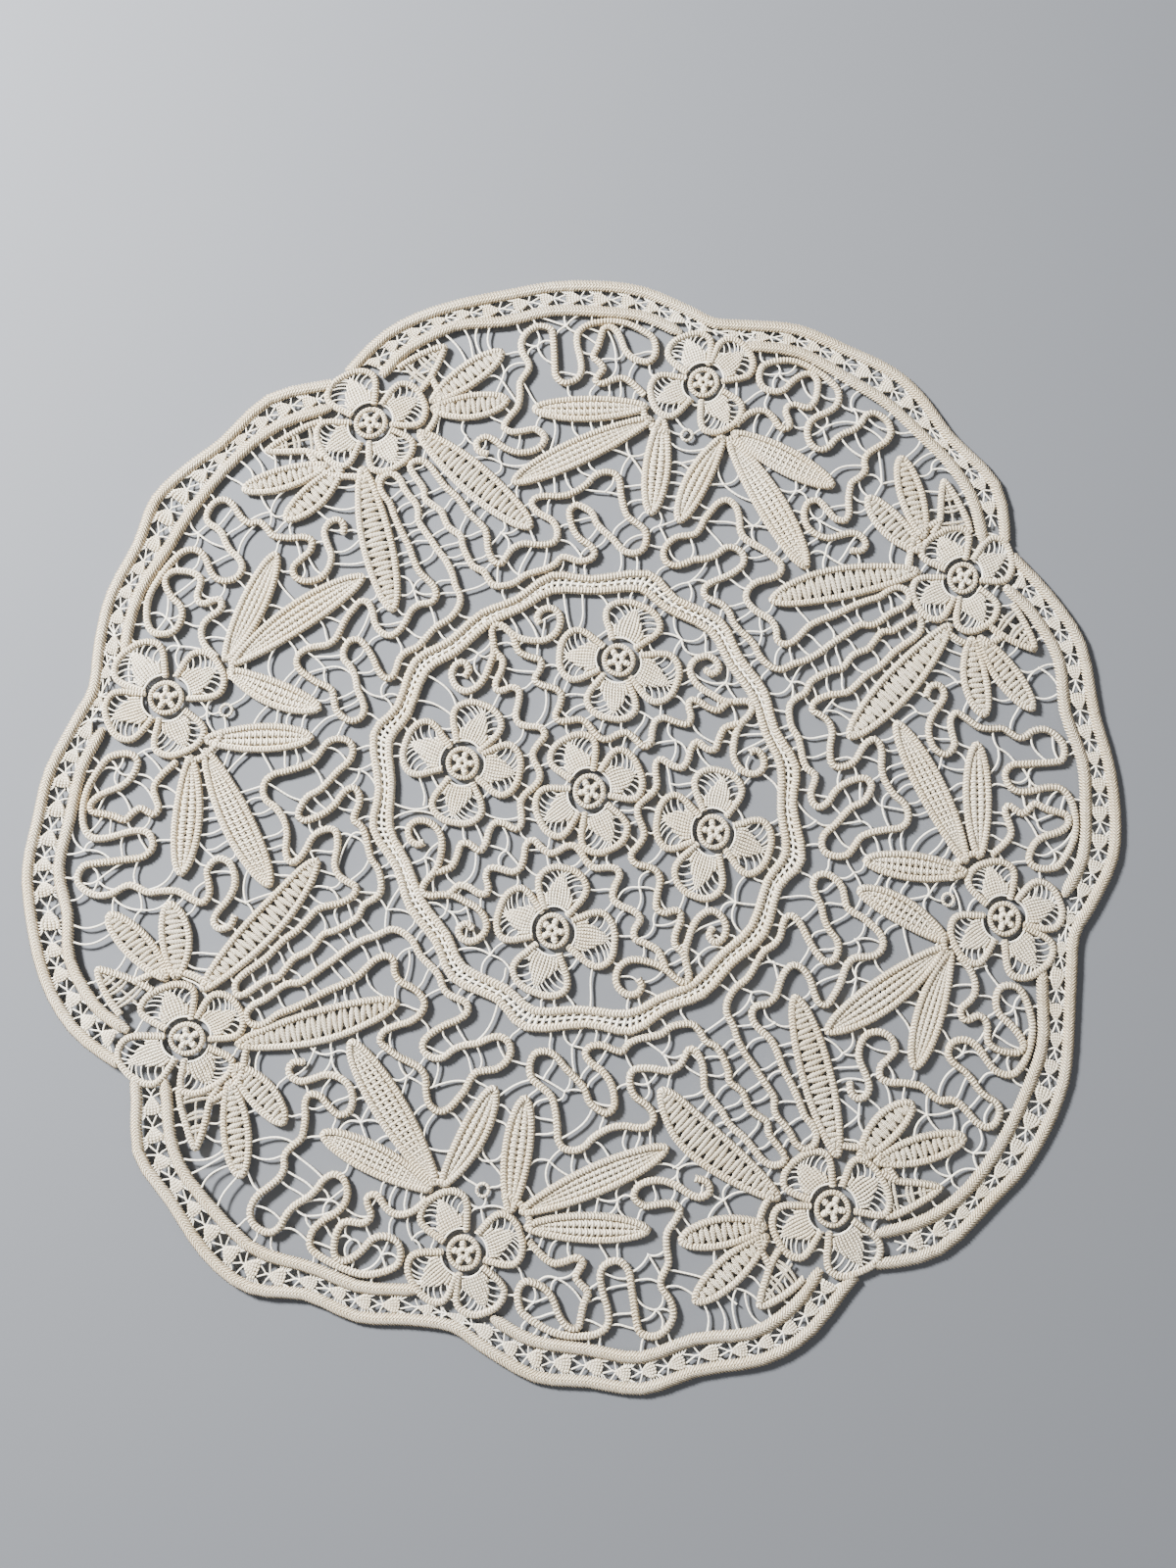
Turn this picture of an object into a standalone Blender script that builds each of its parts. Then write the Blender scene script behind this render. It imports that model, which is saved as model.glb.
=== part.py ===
# Romanian point lace doily: crocheted cords, woven leaves and petals and needle-made bars.
# One flat sheet lying on z = 0. Sizes here are in millimetres, the scene is in metres, +Z up.
# The pattern is one quarter, charted by hand, turned four times. A table of small shifts
# gives every quarter its own hand-laid unevenness.

import math

import bmesh
import bpy
import numpy as np

MM = 0.001

# cords, threads and plates
CORD_WIDTH = 3.4
TAPE_WIDTH = 5.0
INNER_TAPE_WIDTH = 5.2
FRAME_CORD_WIDTH = 3.4
BAR_WIDTH = 1.1
CORD_HEIGHT = 2.4
TAPE_HEIGHT = 2.2
LEAF_HEIGHT = 2.2
FLOWER_HEIGHT = 2.8
FILLING_HEIGHT = 1.2
LADDER_HEIGHT = 1.4
GROUND_HEIGHT = 1.8
PIECE_GAP = 0.35

# flowers and leaves: where a petal starts, and how far out and how bluntly each widens
RING_RADIUS = 7.2
RING_SIDES = 16
PETAL_START = 6.4
PETAL_POINTS = 26
PETAL_WIDEST = 1.25
PETAL_BLUNTNESS = 0.75
LEAF_POINTS = 13
LEAF_WIDEST = 1.15
LEAF_BLUNTNESS = 0.55

# bars of the ground: the distance along the lace between two bars, as cut here
OUTER_BAR_PITCH = 12.0
INNER_BAR_PITCH = 12.0
SMALLEST_GAP_AREA = 24.0
SMALLEST_PIECE = 100.0
LARGE_HOLE = 4000.0
NO_HOLES = 1e9
BAR_REACH = 1.6
BAR_ROOM = 0.3
SMALLEST_OPENING = 1.6
SHORTEST_MEETING = 3

# middles of the two lobes of a quarter, and how far an outline's middle may be from them
LEFT_LOBE = (-10, 180)
RIGHT_LOBE = (100, 155)
LOBE_REACH = 40.0

# the lower left rim stands a little off the table
LIFT_HEIGHT = 2.5
LIFT_FROM = 165.0
LIFT_RUN = 50.0
LIFT_DIRECTION = 214.0
LIFT_HALF_ANGLE = 34.0

# how far an outline may stray when it is thinned out
FLOWER_SLACK = 0.85
TAPE_SLACK = 0.5
LEAF_SLACK = 0.6
GROUND_SLACK = 0.8
GAP_SLACK = 1.05

# working raster for outlines
STEP = 0.5
HALF_FIELD = 244.0
FAR = 12.0
NEAR_EDGE = 3.0

QUARTERS = ("top", "left", "bottom", "right")
CLOCKWISE = (0, 3, 2, 1)

# name: x, y, then the shift of that place in the top, left, bottom and right quarters
LANDMARKS = {
    "border_1": (-106, 184, 2, 1.5, 1.5, 4.5, -1, 1, -2, -7),
    "border_2": (-88, 202, 2, 1, -0.5, 6, 0, 4, -1.5, -10),
    "border_3": (-68, 214.5, 2.5, -1, -1, 6.5, -0.5, 3.5, -1, -9),
    "border_4": (-40, 219.5, 4, 0.5, -2.5, 8, -1.5, 2, 0, -10.5),
    "border_5": (-20, 223.5, 4, 0, -4, 5.5, -1, 4.5, 0, -10),
    "border_6": (0, 222, 4, 1.5, -4.5, 3, 0, 2.5, 0, -7),
    "border_7": (20, 219, 3.5, 1.5, -4, 1.5, 1, 3.5, 0, -6),
    "border_8": (70, 201, 0.5, 4.5, -1, 1.5, 1, 0, -1, -6.5),
    "border_9": (90, 198.5, -0.5, 5, 0, -0.5, 1, 1.5, -0.5, -6),
    "border_10": (110, 191, -1.5, 4.5, 0.5, -2.5, 2, 0.5, -1, -0.5),
    "border_11": (129.5, 184, -0.5, 1.5, 0.5, -1.5, 4, 5.5, -1.5, -1.5),
    "border_12": (158, 158.5, -5, 0, -2.5, -2, 9, -1, -1, 3),
    "border_13": (175, 137, -4, 0, -1, -1.5, 4.5, 0, 0, 2),
    "border_14": (179.5, 112, -5, 1, 1, -2, 2, -2, 1.5, 2.5),
    "inner_3": (-61, 203, 4, 2, 0, 5.5, -2.5, 2.5, -1, -9.5),
    "inner_5": (-20, 210.5, 4, 1, -3.5, 4, -0.5, 4, 0, -9),
    "inner_7": (20, 206, 3, 3, -4, 1, 1.5, 2, -0.5, -6),
    "inner_9": (70, 189, 0, 6.5, -0.5, 1.5, 1.5, -0.5, -1, -7.5),
    "inner_11": (110, 177, -2, 5.5, 0.5, -3, 2.5, 2.5, -1, -1),
    "inner_12": (129, 166, -1.5, 3, 0.5, -4, 5, 5.5, -1.5, 0.5),
    "inner_13": (151, 148, -3.5, 1, -2, -2, 6.5, -1, -1, 2),
    "mid_flower": (47, 174, 1.5, 6, -1, -0.5, 2.5, 1, -2.5, -6.5),
    "corner_flower": (159, 93.5, -4, 2, 3.5, -2.5, 1.5, -2, -1, 2),
    "leaf_left": (-25.5, 165, 2, 4, -1.5, 0.5, 1.5, 1.5, -2, -6),
    "leaf_low_left": (-32, 129.5, 0.5, 5.5, 1.5, -2.5, 1, 3, -3.5, -5.5),
    "leaf_down": (25, 116, 0.5, 7.5, 4, -2.5, 0, -1, -4.5, -4),
    "leaf_down_right": (92.5, 95.5, -2.5, 5, 4, -2, 2.5, -2.5, -3.5, -0.5),
    "leaf_right": (105, 130.5, -2.5, 4.5, 2, -1, 1.5, -2, -1, -1),
    "long_leaf_left": (-26.5, 111, 1.5, 6, 5, -1.5, -3, 0.5, -4, -5),
    "long_leaf_right": (77, 80.5, -2, 4.5, 5, -1, -1, -4.5, -2, 0.5),
    "short_leaf_left": (-41, 191, 4, 3, -2, 3, -1, 3, -0.5, -8.5),
    "short_leaf_right": (132.5, 146.5, -2.5, 1, 1, -2.5, 4.5, -1, -2.5, 2.5),
    "frame_left": (-14.5, 90.5, -1, 7.5, 6.5, -2, -2.5, -0.5, -3, -5),
    "frame_right": (56, 72.5, -1, 6, 6, -0.5, -0.5, -4, -4.5, -1.5),
    "inner_flower": (13.5, 53, -1.5, 8.5, 5, -1.5, 1, -4, -4.5, -2.5),
    "scroll": (-50.5, 51, 0.5, 5.5, 3.5, -2.5, 1.5, -1, -6, -1.5),
}
CENTRE_SHIFT = (0.2, 7.4)
WARP_SOFTNESS = 20.0

# routes of the cords, centre line, x and y
OUTER_TAPE = [
    (-103.3, 182.4), (-87.2, 199.9), (-67.1, 211.8), (-39.6, 217.6), (-19.9, 221.9), (0, 221.1), (19.9, 218.3),
    (39.8, 208.6), (51.8, 202), (69.6, 200.2), (89.6, 197.8), (109.5, 189.9), (128.6, 182.6), (143.4, 170.6),
    (155.7, 156.1), (173.6, 135.8), (177.9, 110.8),
]
INNER_TAPE_LEFT = [
    (-88, 182.5), (-79.1, 192.5), (-61, 202.8), (-40, 204.9), (-20, 210.6), (0, 209.1), (20, 206.3), (33, 200),
]
INNER_TAPE_RIGHT = [
    (69, 189.5), (90, 186.9), (110, 176.9), (129.2, 166.2), (151, 148.1), (162.2, 131.5), (166.8, 114),
]
FILLING_DIP = [(50, 186)]
FRAME_OUTER = [
    (-45.2, 75.8), (-30, 81.2), (-14.6, 90.6), (2, 88.7), (25.3, 91), (37, 80.7), (55.5, 73), (64.5, 58.5),
]
FRAME_INNER = [
    (-41.5, 70.3), (-27.5, 76), (-14, 82.8), (4.7, 82.2), (22, 83.3), (33.3, 75.2), (51, 67.3), (59.5, 54.5),
]
TOP_CORD = [
    (-43, 144), (-47.5, 145.6), (-48.5, 149.5), (-45, 151.8), (-40.8, 150.2), (-36.9, 147.2), (-31, 144.8),
    (-25, 145.3), (-20.9, 147.8), (-19.8, 152), (-23.9, 155.2), (-28.8, 154.4), (-33.8, 154), (-37.2, 156.3),
    (-35.5, 160.3), (-32, 165.5), (-31.5, 171), (-31.9, 176.2), (-30, 180), (-28.5, 183), (-29, 186),
    (-31.6, 190), (-32.5, 195), (-30.6, 199.4), (-26.9, 202.6), (-23.1, 203.1), (-19.7, 201.4),
    (-18.8, 197.5), (-18.1, 191.3), (-17.5, 185), (-16.9, 180), (-14.4, 176.9), (-11.3, 176.3),
    (-7.5, 178.1), (-5.9, 181.9), (-6.6, 187.5), (-8.1, 193.1), (-8.4, 198.1), (-6.7, 201.3), (-2.9, 203.4),
    (1.3, 204.2), (6.7, 204.3), (12, 203.3), (16.6, 201.3), (21, 198.7), (24.4, 195.9), (25.7, 191.9),
    (25.4, 187.5), (23.1, 184.7), (20, 184.8), (15.6, 186.9), (12.5, 190.6), (10.9, 195), (9.1, 198.8),
    (6.3, 201.4), (3.1, 201), (2, 197.5), (0.7, 192.5), (-1.1, 188.1), (1.3, 185.4), (3.3, 182.5),
    (1.6, 179.4), (0.4, 176.9), (2.8, 175.3), (6.9, 176.6), (11.3, 177.6), (15, 175.8), (18.8, 172),
    (21, 169.5),
]
RIGHT_CORD = [
    (61.8, 154), (63, 155.6), (66.8, 158.8), (71.1, 160.5), (75.5, 160), (78.6, 157.5), (80.8, 154.3),
    (83, 152.9), (85.6, 153.8), (85.6, 156.5), (84.3, 159.6), (85, 162.3), (88, 163.4), (91.8, 162.6),
    (94.9, 162.8), (97.2, 165.8), (98.2, 170), (98.2, 174.2), (96.1, 176.9), (93, 176.9), (89.3, 175),
    (86.4, 172.5), (84, 169.9), (80.5, 168.6), (76.1, 169.4), (73.2, 171.6), (72.2, 175.6), (73.3, 179.4),
    (76.8, 181.6), (81.8, 182.7), (86.8, 182.8), (91.4, 181.6), (96, 179.5), (100.6, 176.8), (104.2, 173.9),
    (106.7, 171), (107.3, 167.4), (105.6, 163.5), (101.8, 160.8), (97.4, 158.6), (94.3, 155.4), (93.6, 151),
    (95.3, 147), (99.1, 145.3), (102.8, 147), (105.7, 150.5), (109.3, 153.2), (113.4, 155.3), (116.2, 158.2),
    (118, 161.3), (120.9, 162.9), (124.5, 162), (127.7, 159.4), (128.6, 155.6), (126.5, 151.9),
    (122.8, 149.2), (119.3, 146.3), (117.7, 143), (118, 139.2), (115.8, 136), (112.5, 133.3), (111.5, 130.5),
    (110.8, 125), (111, 120), (109.2, 116.5), (105, 117), (102, 120.2), (98.3, 123.7), (93.9, 122.8),
    (91.9, 118.5), (93, 113), (97, 109.6), (102.3, 108.5), (107.5, 110.2), (112.5, 111.5), (116.3, 110),
    (117.8, 106.8), (115.8, 104), (111.6, 103.8),
]
LOW_RIGHT_CORD = [
    (64, 68.5), (69.6, 63.7), (73, 58.2), (77.7, 54.5), (82.3, 53.7), (87.2, 56), (92.5, 57.6), (98.5, 60.8),
    (103, 64.3), (107.1, 67), (111.4, 70), (115.7, 72.7), (119.8, 72.8), (123.2, 74), (126.6, 76.8),
    (130, 79.1), (133.9, 80.9), (136.3, 84.4), (135, 88), (130.9, 89.2), (127.1, 87.5), (123.6, 84.8),
    (118.6, 83), (113.6, 80.9), (108.6, 78.4), (104.2, 76.2), (98.8, 74.2), (93.7, 71.6), (90, 67.8),
    (86.8, 65), (83, 64), (80.2, 66), (79.6, 70.5), (77, 74.2), (72.5, 76.3), (68.8, 78.8), (66.4, 82.4),
    (67.8, 86.4), (71.8, 89.3), (76.5, 90.6), (81, 92.6), (81.9, 96.1), (78.8, 99), (74.6, 102), (70.3, 104),
    (66.3, 106.2), (64, 109.5), (63.6, 114), (62.6, 118.5), (60, 121.5), (56.8, 122), (53.7, 120.3),
    (51, 117.2), (48.5, 114), (46.8, 110.5), (44.5, 107.5), (40.5, 106.6), (36.5, 105.8), (32.8, 102.8),
    (31.2, 98.9), (32.5, 95.3), (36, 93.8), (40, 94.8), (44, 96.6), (49, 97.4), (53.5, 99.2), (57.5, 102.3),
    (61.8, 102.3), (65.2, 99.8), (65.2, 96), (61.5, 92.6), (57, 90), (52, 87.8), (48.6, 85), (48.8, 81.8),
    (52, 80.1), (56.3, 78.6), (59.2, 75.5), (61, 71.5),
]
LOW_LEFT_CORD = [
    (-76.8, 138.6), (-75.4, 141.2), (-71.4, 141.4), (-67.9, 138.6), (-65, 134.6), (-61.4, 130),
    (-57.1, 126.1), (-54.3, 122.9), (-52.1, 119.3), (-48.6, 115.7), (-44.6, 111.4), (-43.6, 107.1),
    (-42.9, 102.1), (-40.4, 97.1), (-37.1, 96.1), (-35, 99.5), (-32.6, 102.6), (-28, 104.5), (-21.4, 103.6),
    (-15.3, 104.2), (-13.6, 107.3), (-14.4, 111.4), (-16.6, 114.4), (-20.1, 116.4), (-23.3, 118.9),
    (-24.8, 122), (-22.6, 124.5), (-18.3, 125.1), (-13.9, 124.7), (-8.9, 125.5), (-4.5, 127.7), (-1.4, 130.1),
    (1.1, 133.1), (4.9, 134.8), (9.3, 134.2), (11.8, 130.8), (12.4, 126.4), (13.6, 120.1), (15.5, 115.1),
    (19.3, 112), (23, 108.9), (23.9, 104.5), (22.4, 100.1), (18.6, 98.6), (14.3, 100.1), (10.5, 104.5),
    (6.1, 108.6), (3, 112), (1.1, 116.4), (-2, 118.9), (-5.8, 120.4), (-8.6, 118.3), (-8.3, 113.9),
    (-6.4, 108.9), (-3.3, 105.1), (0.5, 102.6), (3, 98.9), (1.1, 96.1), (-3.3, 95.4), (-7.6, 97),
    (-10.8, 97.4), (-13.3, 94.5), (-17, 92.6), (-22, 91.5), (-26.4, 90.2), (-30.1, 87.6), (-35, 86.3),
    (-39.3, 86.5), (-42.1, 89.3), (-44.3, 92.9), (-48.6, 95), (-51.4, 99.3), (-53.6, 104.3), (-54.6, 108.6),
    (-59.3, 112.1), (-61.4, 115.7), (-62.9, 119.3), (-66.4, 122.1), (-70, 125), (-70.7, 129.3),
    (-73.6, 133.6),
]
SCROLL_CORD = [
    (-19, 69.2), (-20.3, 72), (-18.2, 75), (-14, 75.6), (-11, 73), (-10.5, 69), (-12.5, 65), (-17, 62.3),
    (-23, 62.5), (-28.3, 64), (-31.5, 66), (-34.5, 68.8), (-38, 70.2), (-39.8, 67.5), (-39.2, 62.5),
    (-39.2, 58), (-41, 53.5), (-43.3, 48.5), (-46.5, 44.8), (-51, 43), (-55, 45), (-57, 49.5), (-55.5, 53.7),
    (-52, 55), (-49.8, 52), (-51.5, 49.3),
]
WAVE_CORD = [
    (-31, 66), (-29.7, 61.5), (-28, 58), (-23.5, 55.8), (-19.3, 54.3), (-19.2, 50.8), (-21.8, 46.5),
    (-18.7, 43.8), (-14, 42.4), (-10.8, 39.7), (-11.6, 35.3), (-13.6, 31.2), (-12, 28.8), (-8, 28.6),
    (-3.5, 29), (0, 27), (3, 23), (6, 20.8), (9.5, 21.2), (13, 23), (16.3, 23.5), (19.5, 21.5), (23.3, 18.3),
    (26.5, 20), (27.3, 25), (28.9, 29), (32.5, 30.3), (37.5, 29), (42.2, 28.6), (43.8, 31.8), (42.8, 35.3),
    (43.3, 38.2), (46.7, 38.3), (51, 36), (55.3, 35.3), (58, 37.7), (60.5, 39.3),
]

# flower: centre x and y, then its petals as direction in degrees, length from the centre and width
MID_FLOWER = (46.8, 174, [(36, 26, 24), (111, 25.5, 23), (198, 25, 23), (299, 25.5, 23)])
CORNER_FLOWER = (159, 94, [(27, 26.5, 24), (119, 24, 25.5), (213, 24.5, 23), (296, 25, 23.5)])
INNER_FLOWER = (13.7, 53.1, [(71, 26.5, 26), (172, 26.5, 24), (259, 26, 24), (339, 27, 24)])
CENTRE_FLOWER = (0, 0, [(24, 25, 23.5), (113, 25, 23.5), (207, 25, 23.5), (293, 25.5, 23.5)])

# leaf: base x, y, tip x, y, greatest width, sideways bend of its middle
MID_LEFT_LEAVES = [
    (24, 164, -26.5, 164.8, 12.5, 0.5), (26, 159, -33.5, 130.8, 13.3, -0.6), (29, 160, 25.2, 114.5, 12.6, 0.3),
]
MID_RIGHT_LEAVES = [
    (57, 150.5, 36.8, 111.3, 12.2, -1.6), (58, 149, 93.5, 94.3, 14.2, 1), (59, 151.5, 105.8, 130.4, 12.8, -0.5),
]
CORNER_LEFT_LEAVES = [
    (-75, 155, -24.5, 110.5, 15.3, 0.8), (-70, 166.5, -39.5, 191.5, 12.4, 0), (-70, 164, -35.3, 169, 13, -1.3),
]
CORNER_RIGHT_LEAVES = [
    (141, 97, 76, 81.6, 14.8, -1), (142, 110, 132.6, 148, 12.2, 0), (142, 104.5, 118, 128.7, 12.6, 1.2),
]
# short run of stitches that gathers the leaf bases of a spray beside its flower
MID_LEFT_GATHER = [(20.5, 165), (22.5, 158), (28.5, 153), (32, 152)]
MID_RIGHT_GATHER = [(53, 148.5), (58, 148), (62, 149.5)]
CORNER_LEFT_GATHER = [(-73, 150), (-68, 157.5), (-66, 164), (-66, 171), (-70, 179)]
CORNER_RIGHT_GATHER = [(134.5, 95), (136, 101), (136.5, 107), (139, 113), (149, 119.5)]
GATHER_WIDTH = 3.0
LEFT_WEDGE = [(-84, 184), (-74, 190.5), (-63.3, 194.2), (-65.5, 184), (-69, 171), (-73.5, 172)]
RIGHT_WEDGE = [(143, 110), (148.5, 118.5), (149, 129), (151, 138), (157.8, 128.5), (162.5, 114), (153, 113)]


def clear_scene():
    for thing in list(bpy.data.objects):
        bpy.data.objects.remove(thing, do_unlink=True)
    for group in list(bpy.data.collections):
        bpy.data.collections.remove(group)


def turned(points, quarter):
    points = np.asarray(points, float)
    x = points[:, 0]
    y = points[:, 1]
    if quarter == 1:
        return np.column_stack((-y, x))
    if quarter == 2:
        return np.column_stack((-x, -y))
    if quarter == 3:
        return np.column_stack((y, -x))
    return np.column_stack((x, y))


def spline_weight(squared):
    return np.where(squared > 0, 0.5 * squared * np.log(squared + 1e-12), 0.0)


class HandLay:
    """Moves drawn places to where the four quarters were really laid."""

    def __init__(self):
        drawn = [np.zeros((1, 2))]
        laid = [np.array([CENTRE_SHIFT], float)]
        for row in LANDMARKS.values():
            place = np.array([row[:2]], float)
            for quarter in range(4):
                shift = np.array([row[2 + 2 * quarter:4 + 2 * quarter]], float)
                drawn.append(turned(place, quarter))
                laid.append(turned(place + shift, quarter))
        self.drawn = np.concatenate(drawn)
        laid = np.concatenate(laid)
        count = len(self.drawn)
        squared = ((self.drawn[:, None] - self.drawn[None]) ** 2).sum(-1)
        kernel = spline_weight(squared) + WARP_SOFTNESS * np.eye(count)
        flat = np.column_stack((np.ones(count), self.drawn))
        system = np.block([[kernel, flat], [flat.T, np.zeros((3, 3))]])
        answer = np.linalg.solve(system, np.concatenate((laid - self.drawn, np.zeros((3, 2)))))
        self.bend = answer[:count]
        self.slope = answer[count:]

    def place(self, points):
        points = np.asarray(points, float)
        squared = ((points[:, None] - self.drawn[None]) ** 2).sum(-1)
        flat = np.column_stack((np.ones(len(points)), points))
        return points + spline_weight(squared) @ self.bend + flat @ self.slope


LAY = HandLay()


def laid(points, quarter):
    return LAY.place(turned(points, quarter))


def smooth_route(points, closed=False, parts=3):
    # a curve through every point, as straight pieces
    points = np.asarray(points, float)
    count = len(points)
    out = []
    for i in range(count if closed else count - 1):
        if closed:
            p0, p1, p2, p3 = (points[(i + j) % count] for j in (-1, 0, 1, 2))
        else:
            p0, p1, p2, p3 = (points[min(max(i + j, 0), count - 1)] for j in (-1, 0, 1, 2))
        for t in np.arange(parts) / parts:
            out.append(0.5 * (2 * p1 + (p2 - p0) * t + (2 * p0 - 5 * p1 + 4 * p2 - p3) * t * t
                              + (3 * p1 - 3 * p2 + p3 - p0) * t ** 3))
    out.append(out[0] if closed else points[-1])
    return np.array(out)


def hub_outline(centre_x, centre_y):
    turn = np.linspace(0, 2 * math.pi, RING_SIDES, endpoint=False)
    return np.column_stack((centre_x + RING_RADIUS * np.cos(turn), centre_y + RING_RADIUS * np.sin(turn)))


def petal_outline(centre_x, centre_y, angle, length, width):
    # a broad teardrop, narrow at the ring
    along = math.radians(angle)
    turn = np.linspace(-math.pi, math.pi, PETAL_POINTS, endpoint=False)
    share = (1 + np.cos(turn)) / 2
    reach = PETAL_START + (length - PETAL_START) * share
    half = width / 2 * np.sin(math.pi * share ** PETAL_WIDEST) ** PETAL_BLUNTNESS * np.sign(turn + 1e-9)
    x = centre_x + reach * math.cos(along) - half * math.sin(along)
    y = centre_y + reach * math.sin(along) + half * math.cos(along)
    return np.column_stack((x, y))


def leaf_outline(base_x, base_y, tip_x, tip_y, width, bend):
    base = np.array([base_x, base_y], float)
    run = np.array([tip_x, tip_y], float) - base
    side = np.array([-run[1], run[0]]) / np.hypot(run[0], run[1])
    share = np.linspace(0, 1, LEAF_POINTS)
    middle = base + share[:, None] * run + (4 * bend * share * (1 - share))[:, None] * side
    half = width / 2 * np.sin(math.pi * share ** LEAF_WIDEST) ** LEAF_BLUNTNESS
    left = middle + half[:, None] * side
    right = middle - half[:, None] * side
    return np.concatenate((left, right[-2:0:-1]))


# Outline field: distance to a shape on a square raster, below zero inside it

SIDE = int(2 * HALF_FIELD / STEP) + 1
RULER = np.linspace(-HALF_FIELD, HALF_FIELD, SIDE)


def blank():
    return np.full((SIDE, SIDE), FAR, np.float32)


def window(points, margin):
    low = points.min(axis=0) - margin
    high = points.max(axis=0) + margin
    first = np.clip(((low + HALF_FIELD) / STEP).astype(int), 0, SIDE - 1)
    last = np.clip(((high + HALF_FIELD) / STEP).astype(int) + 2, 1, SIDE)
    return slice(first[0], last[0]), slice(first[1], last[1])


def distance_to_piece(x, y, start, end):
    run = end - start
    share = ((x - start[0]) * run[0] + (y - start[1]) * run[1]) / max(run @ run, 1e-9)
    share = np.clip(share, 0, 1)
    return np.hypot(x - start[0] - share * run[0], y - start[1] - share * run[1])


def add_stroke(field, route, width):
    for start, end in zip(route[:-1], route[1:]):
        columns, rows = window(np.array([start, end]), width / 2 + 4)
        x, y = np.meshgrid(RULER[columns], RULER[rows])
        near = distance_to_piece(x, y, start, end) - width / 2
        field[rows, columns] = np.minimum(field[rows, columns], near)
    return field


def add_area(field, corners, reach=5):
    columns, rows = window(corners, reach)
    x, y = np.meshgrid(RULER[columns], RULER[rows])
    near = np.full(x.shape, FAR)
    inside = np.zeros(x.shape, bool)
    for start, end in zip(corners, np.roll(corners, -1, axis=0)):
        near = np.minimum(near, distance_to_piece(x, y, start, end))
        if start[1] != end[1]:
            crosses = (start[1] > y) != (end[1] > y)
            at = start[0] + (y - start[1]) * (end[0] - start[0]) / (end[1] - start[1])
            inside ^= crosses & (x < at)
    near = np.where(inside, -near, near)
    field[rows, columns] = np.minimum(field[rows, columns], near)
    return field


def without(field, other, gap):
    return np.maximum(field, gap - other)


# cell pattern: pairs of cell edges joined by the outline, shape on the left hand
JOINS = {
    1: ((0, 3),), 2: ((1, 0),), 3: ((1, 3),), 4: ((2, 1),), 5: ((0, 3), (2, 1)), 6: ((2, 0),), 7: ((2, 3),),
    8: ((3, 2),), 9: ((0, 2),), 10: ((1, 0), (3, 2)), 11: ((1, 2),), 12: ((3, 1),), 13: ((0, 1),),
    14: ((3, 0),),
}


def edge_name(row, column, edge):
    if edge == 0:
        return row, column, 0
    if edge == 1:
        return row, column + 1, 1
    if edge == 2:
        return row + 1, column, 0
    return row, column, 1


def edge_place(field, name):
    row, column, upright = name
    first = float(field[row, column])
    if upright:
        share = first / (first - float(field[row + 1, column]))
        return RULER[column], RULER[row] + share * STEP
    share = first / (first - float(field[row, column + 1]))
    return RULER[column] + share * STEP, RULER[row]


def outlines(field):
    # closed outlines of the shape: outer ones run anticlockwise, holes clockwise
    field = np.where(np.abs(field) < 1e-4, 1e-4, field)
    inside = (field < 0).astype(np.int32)
    code = inside[:-1, :-1] + 2 * inside[:-1, 1:] + 4 * inside[1:, 1:] + 8 * inside[1:, :-1]
    follow = {}
    for row, column in zip(*np.nonzero((code > 0) & (code < 15))):
        row = int(row)
        column = int(column)
        for enter, leave in JOINS[int(code[row, column])]:
            follow[edge_name(row, column, enter)] = edge_name(row, column, leave)
    loops = []
    while follow:
        first, here = follow.popitem()
        loop = [edge_place(field, first)]
        while here != first:
            loop.append(edge_place(field, here))
            here = follow.pop(here)
        loops.append(np.array(loop))
    return loops


def loop_area(loop):
    after = np.roll(loop, -1, axis=0)
    return 0.5 * float((loop[:, 0] * after[:, 1] - after[:, 0] * loop[:, 1]).sum())


def thin_out(points, tolerance):
    # keeps the fewest points that stay within the tolerance of the run
    keep = np.zeros(len(points), bool)
    keep[0] = True
    keep[-1] = True
    waiting = [(0, len(points) - 1)]
    while waiting:
        first, last = waiting.pop()
        if last - first < 2:
            continue
        middle = points[first + 1:last]
        away = distance_to_piece(middle[:, 0], middle[:, 1], points[first], points[last])
        furthest = int(away.argmax())
        if away[furthest] > tolerance:
            split = first + 1 + furthest
            keep[split] = True
            waiting.append((first, split))
            waiting.append((split, last))
    return points[keep]


def simple_loop(loop, tolerance):
    middle = loop.mean(axis=0)
    start = int(np.hypot(*(loop - middle).T).argmax())
    loop = np.roll(loop, -start, axis=0)
    across = int(np.hypot(*(loop - loop[0]).T).argmax())
    one = thin_out(loop[:across + 1], tolerance)
    two = thin_out(np.concatenate((loop[across:], loop[:1])), tolerance)
    return np.concatenate((one[:-1], two[:-1]))


def simple_shapes(field, tolerance, least, smallest_hole, hole_tolerance):
    # every outer outline from the largest down to the least area, each with its larger holes
    loops = outlines(field)
    outers = sorted((loop for loop in loops if loop_area(loop) > least), key=loop_area, reverse=True)
    shapes = []
    for outer in outers:
        shape = [simple_loop(outer, tolerance)]
        for loop in sorted(loops, key=loop_area):
            if loop_area(loop) < -smallest_hole and holds(outer, loop[0]):
                shape.append(simple_loop(loop, hole_tolerance))
        shapes.append(shape)
    return shapes


def simple_shape(field, tolerance, smallest_hole=NO_HOLES):
    return simple_shapes(field, tolerance, SMALLEST_PIECE, smallest_hole, tolerance)[0]


def holds(corners, spot):
    after = np.roll(corners, -1, axis=0)
    crosses = (corners[:, 1] > spot[1]) != (after[:, 1] > spot[1])
    rise = np.where(crosses, after[:, 1] - corners[:, 1], 1)
    at = corners[:, 0] + (spot[1] - corners[:, 1]) * (after[:, 0] - corners[:, 0]) / rise
    return bool((crosses & (spot[0] < at)).sum() % 2)


# Solids


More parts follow.
